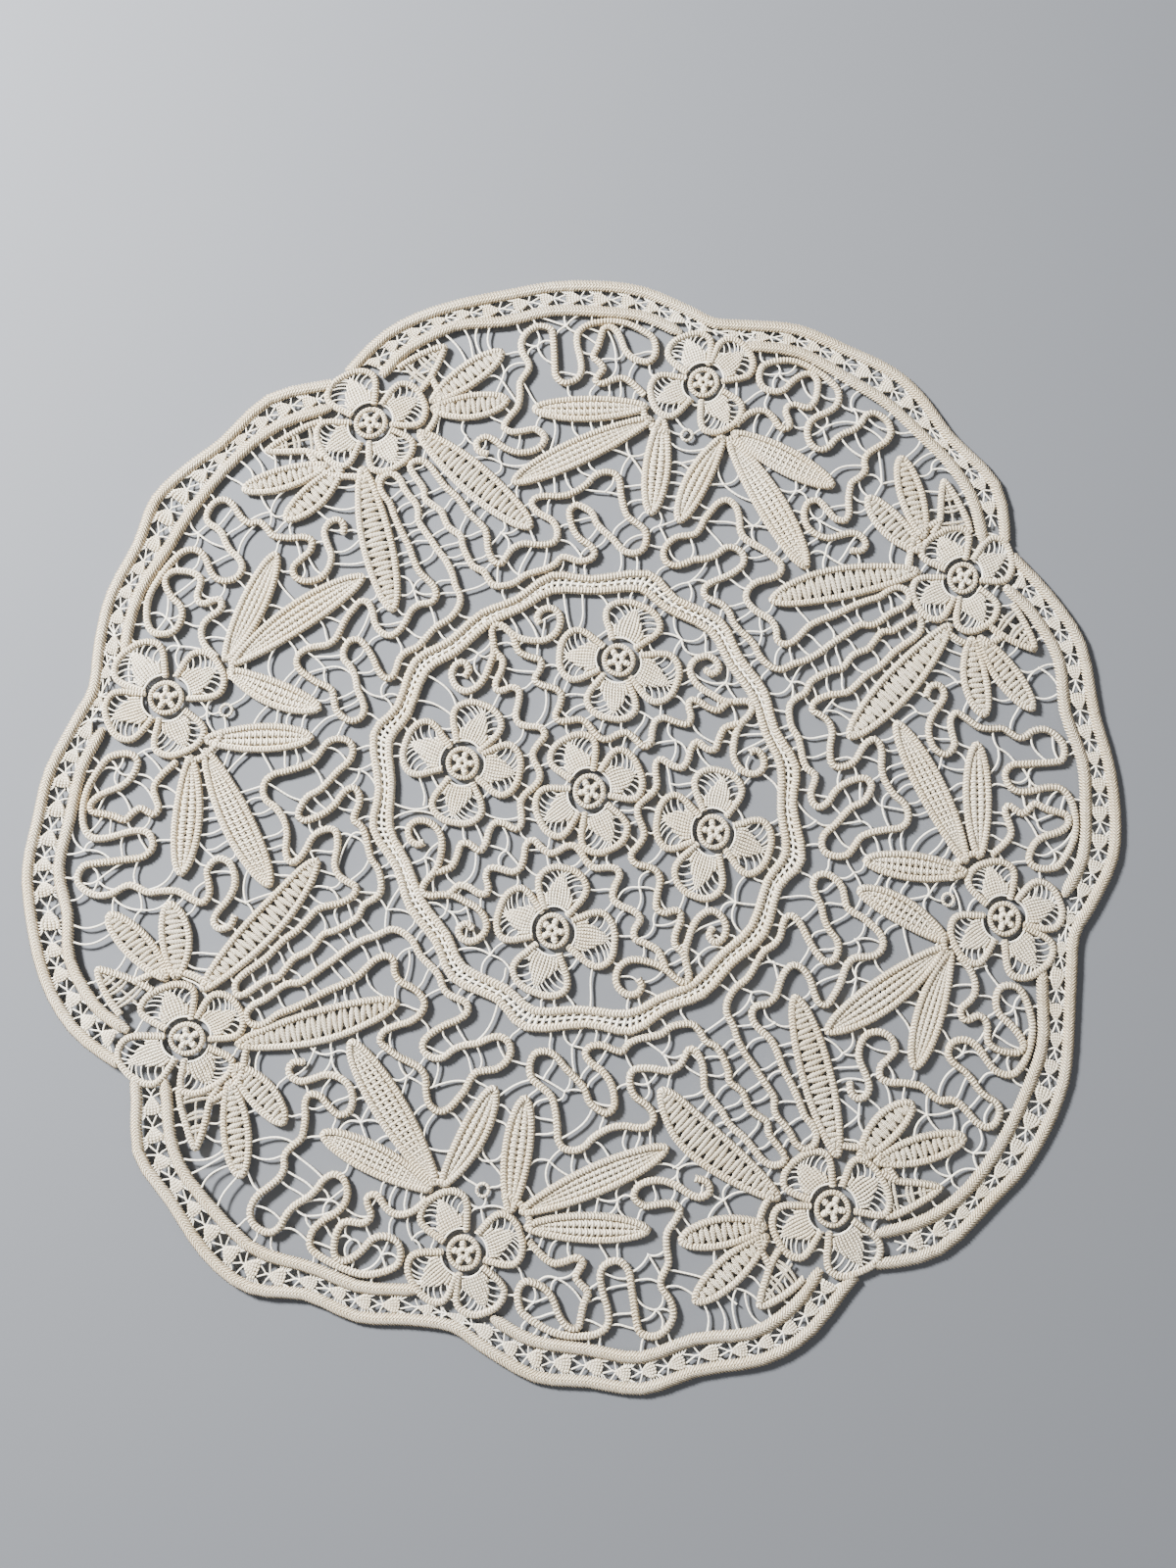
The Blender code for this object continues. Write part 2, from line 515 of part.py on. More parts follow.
def make_material(name, colour, roughness):
    material = bpy.data.materials.new(name)
    material.use_nodes = True
    shader = material.node_tree.nodes["Principled BSDF"]
    shader.inputs["Base Color"].default_value = (*colour, 1)
    shader.inputs["Roughness"].default_value = roughness
    shader.inputs["Metallic"].default_value = 0
    material.diffuse_color = (*colour, 1)
    return material


def lift_at(x, y):
    # height of the slightly raised lower left rim
    far = np.clip((np.hypot(x, y) - LIFT_FROM) / LIFT_RUN, 0, 1)
    angle = (np.degrees(np.arctan2(y, x)) - LIFT_DIRECTION + 180) % 360 - 180
    side = np.clip(1 - np.abs(angle) / LIFT_HALF_ANGLE, 0, 1)
    return LIFT_HEIGHT * far * far * side * side * (3 - 2 * side)


def plate(name, loops, low, high):
    curve = bpy.data.curves.new(name, "CURVE")
    curve.dimensions = "2D"
    curve.fill_mode = "BOTH"
    curve.extrude = (high - low) / 2 * MM
    curve.resolution_u = 1
    curve.render_resolution_u = 0
    for loop in loops:
        spline = curve.splines.new("POLY")
        spline.points.add(len(loop) - 1)
        for point, (x, y) in zip(spline.points, loop):
            point.co = (x * MM, y * MM, 0, 1)
        spline.use_cyclic_u = True
    drawn = bpy.data.objects.new(name + "_outline", curve)
    bpy.context.scene.collection.objects.link(drawn)
    bpy.context.view_layer.update()
    mesh = bpy.data.meshes.new_from_object(drawn)
    bpy.data.objects.remove(drawn, do_unlink=True)
    work = bmesh.new()
    work.from_mesh(mesh)
    bmesh.ops.remove_doubles(work, verts=work.verts, dist=0.00001)
    bmesh.ops.translate(work, verts=work.verts, vec=(0, 0, (low + high) / 2 * MM))
    bmesh.ops.recalc_face_normals(work, faces=work.faces)
    open_edges = sum(1 for edge in work.edges if len(edge.link_faces) != 2)
    if open_edges:
        print("   open edges in", name, open_edges)
    mesh.clear_geometry()
    work.to_mesh(mesh)
    work.free()
    mesh.name = name
    return bpy.data.objects.new(name, mesh)


def finish(thing, group, material):
    thing.data.materials.clear()
    thing.data.materials.append(material)
    group.objects.link(thing)
    return thing


def build():
    clear_scene()
    group = bpy.data.collections.new("romanian_point_lace_doily")
    bpy.context.scene.collection.children.link(group)
    cord_cotton = make_material("cord_cotton", (0.80, 0.76, 0.66), 0.9)
    woven_cotton = make_material("woven_cotton", (0.83, 0.79, 0.70), 0.92)
    thread_cotton = make_material("thread_cotton", (0.86, 0.83, 0.76), 0.92)

    made = []
    taken = blank()

    def keep_ring(name, field, height, material):
        field = without(field, taken, PIECE_GAP + TAPE_SLACK)
        loops = simple_shape(field, TAPE_SLACK, LARGE_HOLE)
        made.append(finish(plate(name, loops, 0, height), group, material))
        np.minimum(taken, field, out=taken)

    def keep_solid(name, loops, height, material):
        made.append(finish(plate(name, loops, 0, height), group, material))
        add_area(taken, loops[0])

    def flower(name, chart, quarter):
        centre_x, centre_y, petals = chart
        field = blank()
        add_area(field, laid(hub_outline(centre_x, centre_y), quarter))
        for angle, length, width in petals:
            add_area(field, laid(petal_outline(centre_x, centre_y, angle, length, width), quarter))
        keep_solid(name, simple_shape(field, FLOWER_SLACK), FLOWER_HEIGHT, woven_cotton)

    def tape(name, route, width, quarter):
        field = add_stroke(blank(), laid(smooth_route(route, parts=2), quarter), width)
        field = without(field, taken, PIECE_GAP + TAPE_SLACK)
        keep_solid(name, simple_shape(field, TAPE_SLACK), TAPE_HEIGHT, cord_cotton)

    def spray(name, leaves, gather, wedge, quarter):
        field = add_stroke(blank(), laid(gather, quarter), GATHER_WIDTH)
        for leaf in leaves:
            add_area(field, laid(leaf_outline(*leaf), quarter))
        if wedge:
            add_area(field, laid(wedge, quarter))
        field = without(field, taken, PIECE_GAP + LEAF_SLACK)
        keep_solid(name, simple_shape(field, LEAF_SLACK), LEAF_HEIGHT, woven_cotton)

    for quarter, side in enumerate(QUARTERS):
        flower("flower_mid_" + side, MID_FLOWER, quarter)
        flower("flower_corner_" + side, CORNER_FLOWER, quarter)
        flower("flower_inner_" + side, INNER_FLOWER, quarter)
    flower("flower_centre", CENTRE_FLOWER, 0)
    for quarter, side in enumerate(QUARTERS):
        tape("outer_tape_" + side, OUTER_TAPE, TAPE_WIDTH, quarter)
        tape("inner_tape_left_" + side, INNER_TAPE_LEFT, INNER_TAPE_WIDTH, quarter)
        tape("inner_tape_right_" + side, INNER_TAPE_RIGHT, INNER_TAPE_WIDTH, quarter)
    for quarter, side in enumerate(QUARTERS):
        spray("spray_mid_left_" + side, MID_LEFT_LEAVES, MID_LEFT_GATHER, None, quarter)
        spray("spray_mid_right_" + side, MID_RIGHT_LEAVES, MID_RIGHT_GATHER, None, quarter)
        spray("spray_corner_left_" + side, CORNER_LEFT_LEAVES, CORNER_LEFT_GATHER, LEFT_WEDGE, quarter)
        spray("spray_corner_right_" + side, CORNER_RIGHT_LEAVES, CORNER_RIGHT_GATHER, RIGHT_WEDGE, quarter)

    # fillings between the two border tapes
    for quarter, side in enumerate(QUARTERS):
        band = np.concatenate((OUTER_TAPE, INNER_TAPE_RIGHT[::-1], FILLING_DIP, INNER_TAPE_LEFT[::-1]))
        field = add_area(blank(), laid(band, quarter))
        field = without(field, taken, PIECE_GAP + TAPE_SLACK)
        keep_solid("filling_" + side, simple_shape(field, TAPE_SLACK), FILLING_HEIGHT, thread_cotton)

    # frame: two cords with a ladder between them
    def ring_route(route):
        return np.concatenate([laid(route, quarter) for quarter in CLOCKWISE])

    frame_outer = ring_route(FRAME_OUTER)
    frame_inner = ring_route(FRAME_INNER)
    inside_frame = add_area(blank(), frame_outer, NEAR_EDGE)
    inside_slot = add_area(blank(), frame_inner, NEAR_EDGE)
    for name, route in (("frame_outer_cord", frame_outer), ("frame_inner_cord", frame_inner)):
        closed = np.concatenate((route, route[:1]))
        keep_ring(name, add_stroke(blank(), closed, FRAME_CORD_WIDTH), CORD_HEIGHT, cord_cotton)
    keep_ring("frame_ladder", np.maximum(inside_frame, -inside_slot), LADDER_HEIGHT, thread_cotton)

    # ground: the winding cords and the needle-made bars that hold them
    cords = blank()
    for quarter in range(4):
        for route, closed in ((TOP_CORD, False), (RIGHT_CORD, False), (LOW_RIGHT_CORD, True),
                              (LOW_LEFT_CORD, True), (SCROLL_CORD, False), (WAVE_CORD, False)):
            add_stroke(cords, laid(smooth_route(route, closed), quarter), CORD_WIDTH)
    inside_sheet = add_area(blank(), ring_route(OUTER_TAPE), NEAR_EDGE)
    regions = (
        ("ground_outer", np.maximum(inside_sheet, -inside_frame), OUTER_BAR_PITCH),
        ("ground_medallion", inside_slot, INNER_BAR_PITCH),
    )
    gaps = 0
    for name, region, pitch in regions:
        net = cords.copy()
        for start, end in bars_between(region, np.minimum(cords, taken), pitch):
            add_stroke(net, np.array([start, end]), BAR_WIDTH)
        net = np.maximum(net, region)
        net = without(net, taken, PIECE_GAP + GROUND_SLACK)
        for shape in simple_shapes(net, GROUND_SLACK, SMALLEST_PIECE, SMALLEST_GAP_AREA, GAP_SLACK):
            lobe = name + lobe_name(shape[0])
            gaps += len(shape) - 1
            made.append(finish(plate(lobe, shape, 0, GROUND_HEIGHT), group, cord_cotton))
    print("   gaps cut", gaps)

    # centre the sheet and lift its lower left rim
    places = np.concatenate([np.array([vertex.co[:2] for vertex in thing.data.vertices]) for thing in made])
    middle = (places.min(axis=0) + places.max(axis=0)) / 2
    print("   middle of the sheet, mm:", np.round(middle / MM, 3))
    for thing in made:
        for vertex in thing.data.vertices:
            x, y, z = vertex.co
            up = float(lift_at(x / MM, y / MM)) * MM
            vertex.co = (x - middle[0], y - middle[1], z + up)
    total = 0
    for thing in made:
        thing.data.calc_loop_triangles()
        total += len(thing.data.loop_triangles)
    print("   triangles", total, "nodes", len(made))


def lobe_name(outline):
    # says which lobe of the border an outline lies in, or nothing for the middle ring
    middle = outline.mean(axis=0)
    for quarter, side in enumerate(QUARTERS):
        for hand, place in (("_left_", LEFT_LOBE), ("_right_", RIGHT_LOBE)):
            if np.hypot(*(laid([place], quarter)[0] - middle)) < LOBE_REACH:
                return hand + side
    return ""


def bars_between(region, solid, pitch):
    # places gap centres a pitch apart in the open parts, then a bar where two gaps meet
    open_part = (np.maximum(region, BAR_ROOM - solid) < 0)[::2, ::2]
    clear = np.where(open_part, solid[::2, ::2], 0)
    grid = 2 * STEP
    free = open_part.copy()
    owner = np.zeros(open_part.shape, np.int32)
    steps = int(round(pitch / grid))
    seeds = 0
    while True:
        best = int(np.argmax(np.where(free, clear, 0)))
        row, column = divmod(best, free.shape[1])
        if not free[row, column] or clear[row, column] < SMALLEST_OPENING:
            break
        seeds += 1
        owner[row, column] = seeds
        top = max(row - steps - 2, 1)
        left = max(column - steps - 2, 1)
        part = (slice(top, row + steps + 3), slice(left, column + steps + 3))
        here = open_part[part]
        reached = np.zeros(here.shape, bool)
        reached[row - top, column - left] = True
        for step in range(steps):
            reached = spread(reached, step % 2) & here
        free[part] &= ~reached
    for step in range(4 * steps):
        grown = owner.copy()
        for shift_row, shift_column in NEIGHBOURS[step % 2]:
            other = np.roll(owner, (shift_row, shift_column), (0, 1))
            takes = open_part & (grown == 0) & (other > 0)
            grown[takes] = other[takes]
        owner = grown
    meet = {}
    ruler = RULER[::2]
    for across in (0, 1):
        after = np.roll(owner, -1, axis=across)
        rows, columns = np.nonzero((owner > 0) & (after > 0) & (owner != after))
        for row, column in zip(rows, columns):
            pair = (int(owner[row, column]), int(after[row, column]))
            spot = (ruler[column] + (grid / 2 if across else 0), ruler[row] + (0 if across else grid / 2))
            meet.setdefault((min(pair), max(pair)), []).append(spot)
    bars = []
    for spots in meet.values():
        spots = np.array(spots)
        if len(spots) < SHORTEST_MEETING:
            continue
        middle = spots.mean(axis=0)
        run = np.linalg.svd(spots - middle)[2][0]
        along = (spots - middle) @ run
        bars.append((middle + run * (along.min() - BAR_REACH), middle + run * (along.max() + BAR_REACH)))
    return bars


NEIGHBOURS = (
    ((0, 1), (0, -1), (1, 0), (-1, 0)),
    ((0, 1), (0, -1), (1, 0), (-1, 0), (1, 1), (1, -1), (-1, 1), (-1, -1)),
)


def spread(mask, kind):
    out = mask.copy()
    for shift_row, shift_column in NEIGHBOURS[kind]:
        out |= np.roll(mask, (shift_row, shift_column), (0, 1))
    return out


build()
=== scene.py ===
# Romanian point lace doily laid flat: crocheted cords, woven petals and leaves, needle-made bars.
# The layout below is in millimetres, one quarter of the pattern, turned four times.
import math

import bpy
import numpy as np
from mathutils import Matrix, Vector


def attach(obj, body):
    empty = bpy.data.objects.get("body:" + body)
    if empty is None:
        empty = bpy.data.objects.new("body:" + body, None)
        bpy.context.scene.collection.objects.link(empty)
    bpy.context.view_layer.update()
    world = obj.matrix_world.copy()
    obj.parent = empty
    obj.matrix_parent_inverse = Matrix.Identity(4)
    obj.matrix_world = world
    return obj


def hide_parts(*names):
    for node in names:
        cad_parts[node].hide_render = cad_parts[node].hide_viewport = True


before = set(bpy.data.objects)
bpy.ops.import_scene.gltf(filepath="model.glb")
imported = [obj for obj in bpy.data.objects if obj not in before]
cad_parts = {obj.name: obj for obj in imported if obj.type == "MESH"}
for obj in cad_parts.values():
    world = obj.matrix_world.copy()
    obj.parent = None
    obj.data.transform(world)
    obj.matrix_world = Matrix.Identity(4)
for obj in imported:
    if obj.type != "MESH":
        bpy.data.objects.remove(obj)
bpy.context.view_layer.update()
mm = 0.001
sides = ("top", "left", "bottom", "right")
print("frame loaded:", len(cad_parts), "solids")

# where each place of the pattern was really laid: x, y, then its shift in the top, left, bottom
# and right quarters
laidPlaces = [
    (-106, 184, 2, 1.5, 1.5, 4.5, -1, 1, -2, -7),
    (-88, 202, 2, 1, -0.5, 6, 0, 4, -1.5, -10),
    (-68, 214.5, 2.5, -1, -1, 6.5, -0.5, 3.5, -1, -9),
    (-40, 219.5, 4, 0.5, -2.5, 8, -1.5, 2, 0, -10.5),
    (-20, 223.5, 4, 0, -4, 5.5, -1, 4.5, 0, -10),
    (0, 222, 4, 1.5, -4.5, 3, 0, 2.5, 0, -7),
    (20, 219, 3.5, 1.5, -4, 1.5, 1, 3.5, 0, -6),
    (70, 201, 0.5, 4.5, -1, 1.5, 1, 0, -1, -6.5),
    (90, 198.5, -0.5, 5, 0, -0.5, 1, 1.5, -0.5, -6),
    (110, 191, -1.5, 4.5, 0.5, -2.5, 2, 0.5, -1, -0.5),
    (129.5, 184, -0.5, 1.5, 0.5, -1.5, 4, 5.5, -1.5, -1.5),
    (158, 158.5, -5, 0, -2.5, -2, 9, -1, -1, 3),
    (175, 137, -4, 0, -1, -1.5, 4.5, 0, 0, 2),
    (179.5, 112, -5, 1, 1, -2, 2, -2, 1.5, 2.5),
    (-61, 203, 4, 2, 0, 5.5, -2.5, 2.5, -1, -9.5),
    (-20, 210.5, 4, 1, -3.5, 4, -0.5, 4, 0, -9),
    (20, 206, 3, 3, -4, 1, 1.5, 2, -0.5, -6),
    (70, 189, 0, 6.5, -0.5, 1.5, 1.5, -0.5, -1, -7.5),
    (110, 177, -2, 5.5, 0.5, -3, 2.5, 2.5, -1, -1),
    (129, 166, -1.5, 3, 0.5, -4, 5, 5.5, -1.5, 0.5),
    (151, 148, -3.5, 1, -2, -2, 6.5, -1, -1, 2),
    (47, 174, 1.5, 6, -1, -0.5, 2.5, 1, -2.5, -6.5),
    (159, 93.5, -4, 2, 3.5, -2.5, 1.5, -2, -1, 2),
    (-25.5, 165, 2, 4, -1.5, 0.5, 1.5, 1.5, -2, -6),
    (-32, 129.5, 0.5, 5.5, 1.5, -2.5, 1, 3, -3.5, -5.5),
    (25, 116, 0.5, 7.5, 4, -2.5, 0, -1, -4.5, -4),
    (92.5, 95.5, -2.5, 5, 4, -2, 2.5, -2.5, -3.5, -0.5),
    (105, 130.5, -2.5, 4.5, 2, -1, 1.5, -2, -1, -1),
    (-26.5, 111, 1.5, 6, 5, -1.5, -3, 0.5, -4, -5),
    (77, 80.5, -2, 4.5, 5, -1, -1, -4.5, -2, 0.5),
    (-41, 191, 4, 3, -2, 3, -1, 3, -0.5, -8.5),
    (132.5, 146.5, -2.5, 1, 1, -2.5, 4.5, -1, -2.5, 2.5),
    (-14.5, 90.5, -1, 7.5, 6.5, -2, -2.5, -0.5, -3, -5),
    (56, 72.5, -1, 6, 6, -0.5, -0.5, -4, -4.5, -1.5),
    (13.5, 53, -1.5, 8.5, 5, -1.5, 1, -4, -4.5, -2.5),
    (-50.5, 51, 0.5, 5.5, 3.5, -2.5, 1.5, -1, -6, -1.5),
]
lay = {
    "centreShift": (0.2, 7.4),
    "softness": 20.0,
    "sheetMiddle": (-6.634, -1.827),
    # the lower left rim stands a little off the table
    "liftHeight": 2.5,
    "liftFrom": 165.0,
    "liftRun": 50.0,
    "liftDirection": 214.0,
    "liftHalfAngle": 34.0,
    "ripple": 0.22,
    "rippleRun": (19.0, 23.0),
}


def turned(points, quarter):
    points = np.asarray(points, float)
    x = points[:, 0]
    y = points[:, 1]
    if quarter == 1:
        return np.column_stack((-y, x))
    if quarter == 2:
        return np.column_stack((-x, -y))
    if quarter == 3:
        return np.column_stack((y, -x))
    return np.column_stack((x, y))


def bendWeight(squared):
    return np.where(squared > 0, 0.5 * squared * np.log(squared + 1e-12), 0.0)


def learnLay():
    # a smooth bend that carries every drawn place to its laid place
    drawn = [np.zeros((1, 2))]
    found = [np.array([lay["centreShift"]])]
    for row in laidPlaces:
        spot = np.array([row[:2]], float)
        for quarter in range(4):
            shift = np.array([row[2 + 2 * quarter:4 + 2 * quarter]], float)
            drawn.append(turned(spot, quarter))
            found.append(turned(spot + shift, quarter))
    drawn = np.concatenate(drawn)
    found = np.concatenate(found)
    count = len(drawn)
    squared = ((drawn[:, None] - drawn[None]) ** 2).sum(-1)
    kernel = bendWeight(squared) + lay["softness"] * np.eye(count)
    flat = np.column_stack((np.ones(count), drawn))
    system = np.block([[kernel, flat], [flat.T, np.zeros((3, 3))]])
    answer = np.linalg.solve(system, np.concatenate((found - drawn, np.zeros((3, 2)))))
    return drawn, answer[:count], answer[count:]


drawnPlaces, layBend, laySlope = learnLay()


def laid(points, quarter):
    # a drawn place of one quarter, in the sheet's own millimetres
    points = turned(points, quarter)
    squared = ((points[:, None] - drawnPlaces[None]) ** 2).sum(-1)
    flat = np.column_stack((np.ones(len(points)), points))
    return points + bendWeight(squared) @ layBend + flat @ laySlope - lay["sheetMiddle"]


def liftAt(x, y):
    # the raised rim, and a slight ripple all over
    x0 = x + lay["sheetMiddle"][0]
    y0 = y + lay["sheetMiddle"][1]
    far = np.clip((np.hypot(x0, y0) - lay["liftFrom"]) / lay["liftRun"], 0, 1)
    angle = (np.degrees(np.arctan2(y0, x0)) - lay["liftDirection"] + 180) % 360 - 180
    side = np.clip(1 - np.abs(angle) / lay["liftHalfAngle"], 0, 1)
    runX, runY = lay["rippleRun"]
    ripple = lay["ripple"] * (1 + np.sin(x / runX + 0.7) * np.cos(y / runY - 0.4))
    return lay["liftHeight"] * far * far * side * side * (3 - 2 * side) + ripple


def smoothRoute(points, closed=False, parts=3):
    # a curve through every point
    points = np.asarray(points, float)
    count = len(points)
    out = []
    for i in range(count if closed else count - 1):
        if closed:
            p0, p1, p2, p3 = (points[(i + j) % count] for j in (-1, 0, 1, 2))
        else:
            p0, p1, p2, p3 = (points[min(max(i + j, 0), count - 1)] for j in (-1, 0, 1, 2))
        for t in np.arange(parts) / parts:
            out.append(0.5 * (2 * p1 + (p2 - p0) * t + (2 * p0 - 5 * p1 + 4 * p2 - p3) * t * t
                              + (3 * p1 - 3 * p2 + p3 - p0) * t ** 3))
    if not closed:
        out.append(points[-1])
    return np.array(out)


def ringRoute(place, radius, parts):
    # points evenly round a circle
    turn = np.linspace(0, 2 * math.pi, parts, endpoint=False)
    return np.array(place) + radius * np.column_stack((np.cos(turn), np.sin(turn)))


def evenRoute(points, step, closed=False):
    # the same line with its points a step apart
    if closed:
        points = np.concatenate((points, points[:1]))
    lengths = np.concatenate(([0], np.cumsum(np.hypot(*np.diff(points, axis=0).T))))
    count = max(int(round(lengths[-1] / step)), 2)
    at = np.linspace(0, lengths[-1], count + 1)
    if closed:
        at = at[:-1]
    return np.column_stack([np.interp(at, lengths, points[:, k]) for k in range(points.shape[1])])


# paths are gathered in a book: points, half widths and edges of many lines for one mesh

def newBook():
    return {"spots": [], "girths": [], "edges": [], "count": 0}


def addPath(book, points, girth, height, closed=False):
    points = np.asarray(points, float)
    count = len(points)
    book["spots"].append(np.column_stack((points, height + liftAt(points[:, 0], points[:, 1]))))
    book["girths"].append(np.broadcast_to(np.asarray(girth, float), (count,)))
    first = book["count"] + np.arange(count)
    edges = np.column_stack((first[:-1], first[1:]))
    if closed:
        edges = np.concatenate((edges, [[first[-1], first[0]]]))
    book["edges"].append(edges)
    book["count"] += count


# nodes for the cord tree and for the cottons

def addNode(tree, kind, inputs=(), **settings):
    # a node with its settings, and each of its inputs linked or given a value
    node = tree.nodes.new(kind)
    for name, value in settings.items():
        setattr(node, name, value)
    for name, source in dict(inputs).items():
        if isinstance(source, bpy.types.NodeSocket):
            tree.links.new(source, node.inputs[name])
        else:
            node.inputs[name].default_value = source
    return node


def calculate(tree, kind, *sources):
    return addNode(tree, "ShaderNodeMath", enumerate(sources), operation=kind).outputs[0]


def capture(tree, geometry, values):
    # values that are read here and kept on what is made of the geometry
    node = addNode(tree, "GeometryNodeCaptureAttribute", {"Geometry": geometry})
    for name, (kind, source) in values.items():
        node.capture_items.new(kind, name)
        tree.links.new(source, node.inputs[name])
    return node.outputs


# one Geometry Nodes tree turns every kind of line into a stitched cord or a thread

def buildCordTree():
    tree = bpy.data.node_groups.new("stitchedCord", "GeometryNodeTree")
    tree.is_modifier = True
    face = tree.interface
    face.new_socket("Geometry", in_out="INPUT", socket_type="NodeSocketGeometry")
    for name, kind in (("Stitch length", "NodeSocketFloat"), ("Stitches per rib", "NodeSocketInt"),
                       ("Rib depth", "NodeSocketFloat"), ("Slant", "NodeSocketFloat"),
                       ("Flatness", "NodeSocketFloat"), ("Sides", "NodeSocketInt"),
                       ("Unevenness", "NodeSocketFloat"), ("Seed", "NodeSocketInt"),
                       ("Material", "NodeSocketMaterial")):
        face.new_socket(name, in_out="INPUT", socket_type=kind)
    face.new_socket("Geometry", in_out="OUTPUT", socket_type="NodeSocketGeometry")
    given = addNode(tree, "NodeGroupInput").outputs
    route = addNode(tree, "GeometryNodeMeshToCurve", {"Mesh": given["Geometry"]}).outputs["Curve"]
    route = addNode(tree, "GeometryNodeResampleCurve", {"Curve": route, "Length": given["Stitch length"]},
                    mode="LENGTH").outputs["Curve"]
    route = addNode(tree, "GeometryNodeSetCurveNormal", {"Curve": route}, mode="Z_UP").outputs["Curve"]

    # every rib ends in one drawn-in stitch
    number = addNode(tree, "GeometryNodeSplineParameter").outputs["Index"]
    inRib = calculate(tree, "MODULO", number, given["Stitches per rib"])
    depth = calculate(tree, "MULTIPLY", calculate(tree, "LESS_THAN", inRib, 0.5), given["Rib depth"])
    chance = addNode(tree, "FunctionNodeRandomValue", {2: -1.0, 3: 1.0, "Seed": given["Seed"]},
                     data_type="FLOAT")
    uneven = calculate(tree, "MULTIPLY", chance.outputs[1], given["Unevenness"])
    girth = addNode(tree, "GeometryNodeInputNamedAttribute", {"Name": "girth"}, data_type="FLOAT")
    girth = girth.outputs["Attribute"]
    width = calculate(tree, "MULTIPLY_ADD", girth, calculate(tree, "SUBTRACT", uneven, depth), girth)
    kept = capture(tree, route, {
        "heading": ("VECTOR", addNode(tree, "GeometryNodeInputTangent").outputs["Tangent"]),
        "along": ("FLOAT", calculate(tree, "DIVIDE", number, given["Stitches per rib"])),
        "thickness": ("FLOAT", girth),
    })

    ring = addNode(tree, "GeometryNodeCurvePrimitiveCircle", {"Radius": 1.0, "Resolution": given["Sides"]})
    flatten = addNode(tree, "ShaderNodeCombineXYZ", {"X": 1.0, "Y": given["Flatness"], "Z": 1.0})
    oval = addNode(tree, "GeometryNodeTransform", {"Geometry": ring.outputs["Curve"],
                                                   "Scale": flatten.outputs["Vector"]})
    rim = capture(tree, oval.outputs["Geometry"], {
        "around": ("VECTOR", addNode(tree, "GeometryNodeInputPosition").outputs["Position"]),
    })
    sweep = addNode(tree, "GeometryNodeCurveToMesh", {
        "Curve": kept["Geometry"], "Profile Curve": rim["Geometry"], "Scale": width, "Fill Caps": True,
    })

    # the middle of each rib leans forward, so the ribs run in chevrons
    across = addNode(tree, "ShaderNodeSeparateXYZ", {"Vector": rim["around"]}).outputs["X"]
    lean = calculate(tree, "SUBTRACT", 1.0, calculate(tree, "ABSOLUTE", across))
    lean = calculate(tree, "MULTIPLY", calculate(tree, "MULTIPLY", lean, given["Slant"]), kept["thickness"])
    forward = addNode(tree, "ShaderNodeVectorMath", {0: kept["heading"], "Scale": lean}, operation="SCALE")
    cord = addNode(tree, "GeometryNodeSetPosition", {"Geometry": sweep.outputs["Mesh"],
                                                     "Offset": forward.outputs["Vector"]}).outputs["Geometry"]
    for name, source in (("along", kept["along"]), ("across", across)):
        values = {"Geometry": cord, "Name": name, "Value": source}
        cord = addNode(tree, "GeometryNodeStoreNamedAttribute", values,
                       data_type="FLOAT", domain="POINT").outputs["Geometry"]
    for kind in ("GeometryNodeSetShadeSmooth", "GeometryNodeRealizeInstances"):
        cord = addNode(tree, kind, {"Geometry": cord}).outputs["Geometry"]
    cord = addNode(tree, "GeometryNodeSetMaterial", {"Geometry": cord, "Material": given["Material"]})
    addNode(tree, "NodeGroupOutput", {"Geometry": cord.outputs["Geometry"]})
    return tree


cordTree = buildCordTree()


def sewn(name, book, settings, material):
    # lines of a book, through the tree, to one plain mesh
    lines = bpy.data.meshes.new(name + "Lines")
    spots = np.concatenate(book["spots"]) * mm
    edges = np.concatenate(book["edges"])
    lines.vertices.add(len(spots))
    lines.vertices.foreach_set("co", spots.ravel())
    lines.edges.add(len(edges))
    lines.edges.foreach_set("vertices", edges.astype(np.int32).ravel())
    girth = lines.attributes.new("girth", "FLOAT", "POINT")
    girth.data.foreach_set("value", (np.concatenate(book["girths"]) * mm).astype(np.float32))
    lines.update()
    drawn = bpy.data.objects.new(name + "Lines", lines)
    bpy.context.scene.collection.objects.link(drawn)
    change = drawn.modifiers.new("stitches", "NODES")
    change.node_group = cordTree
    values = {
        "Stitch length": settings["stitch"] * mm, "Stitches per rib": settings["perRib"],
        "Rib depth": settings["ribDepth"], "Slant": settings["slant"], "Flatness": settings["flatness"],
        "Sides": settings["sides"], "Unevenness": settings["unevenness"], "Seed": settings["seed"],
        "Material": material,
    }
    for item in cordTree.interface.items_tree:
        if item.item_type == "SOCKET" and item.in_out == "INPUT" and item.name in values:
            change[item.identifier] = values[item.name]
    graph = bpy.context.evaluated_depsgraph_get()
    mesh = bpy.data.meshes.new_from_object(drawn.evaluated_get(graph))
    bpy.data.objects.remove(drawn, do_unlink=True)
    mesh.name = name
    if not mesh.materials:
        mesh.materials.append(material)
    piece = bpy.data.objects.new(name, mesh)
    bpy.context.scene.collection.objects.link(piece)
    return piece


def stitchUp(name, parts):
    # books with their settings and cotton, as one piece that rides on the doily
    pieces = [sewn(name, *part) for part in parts]
    piece = pieces[0]
    if len(pieces) > 1:
        with bpy.context.temp_override(active_object=piece, selected_editable_objects=pieces):
            bpy.ops.object.join()
    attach(piece, "root")
    piece.data.calc_loop_triangles()
    print(name, "made:", len(piece.data.loop_triangles), "triangles")
    return piece


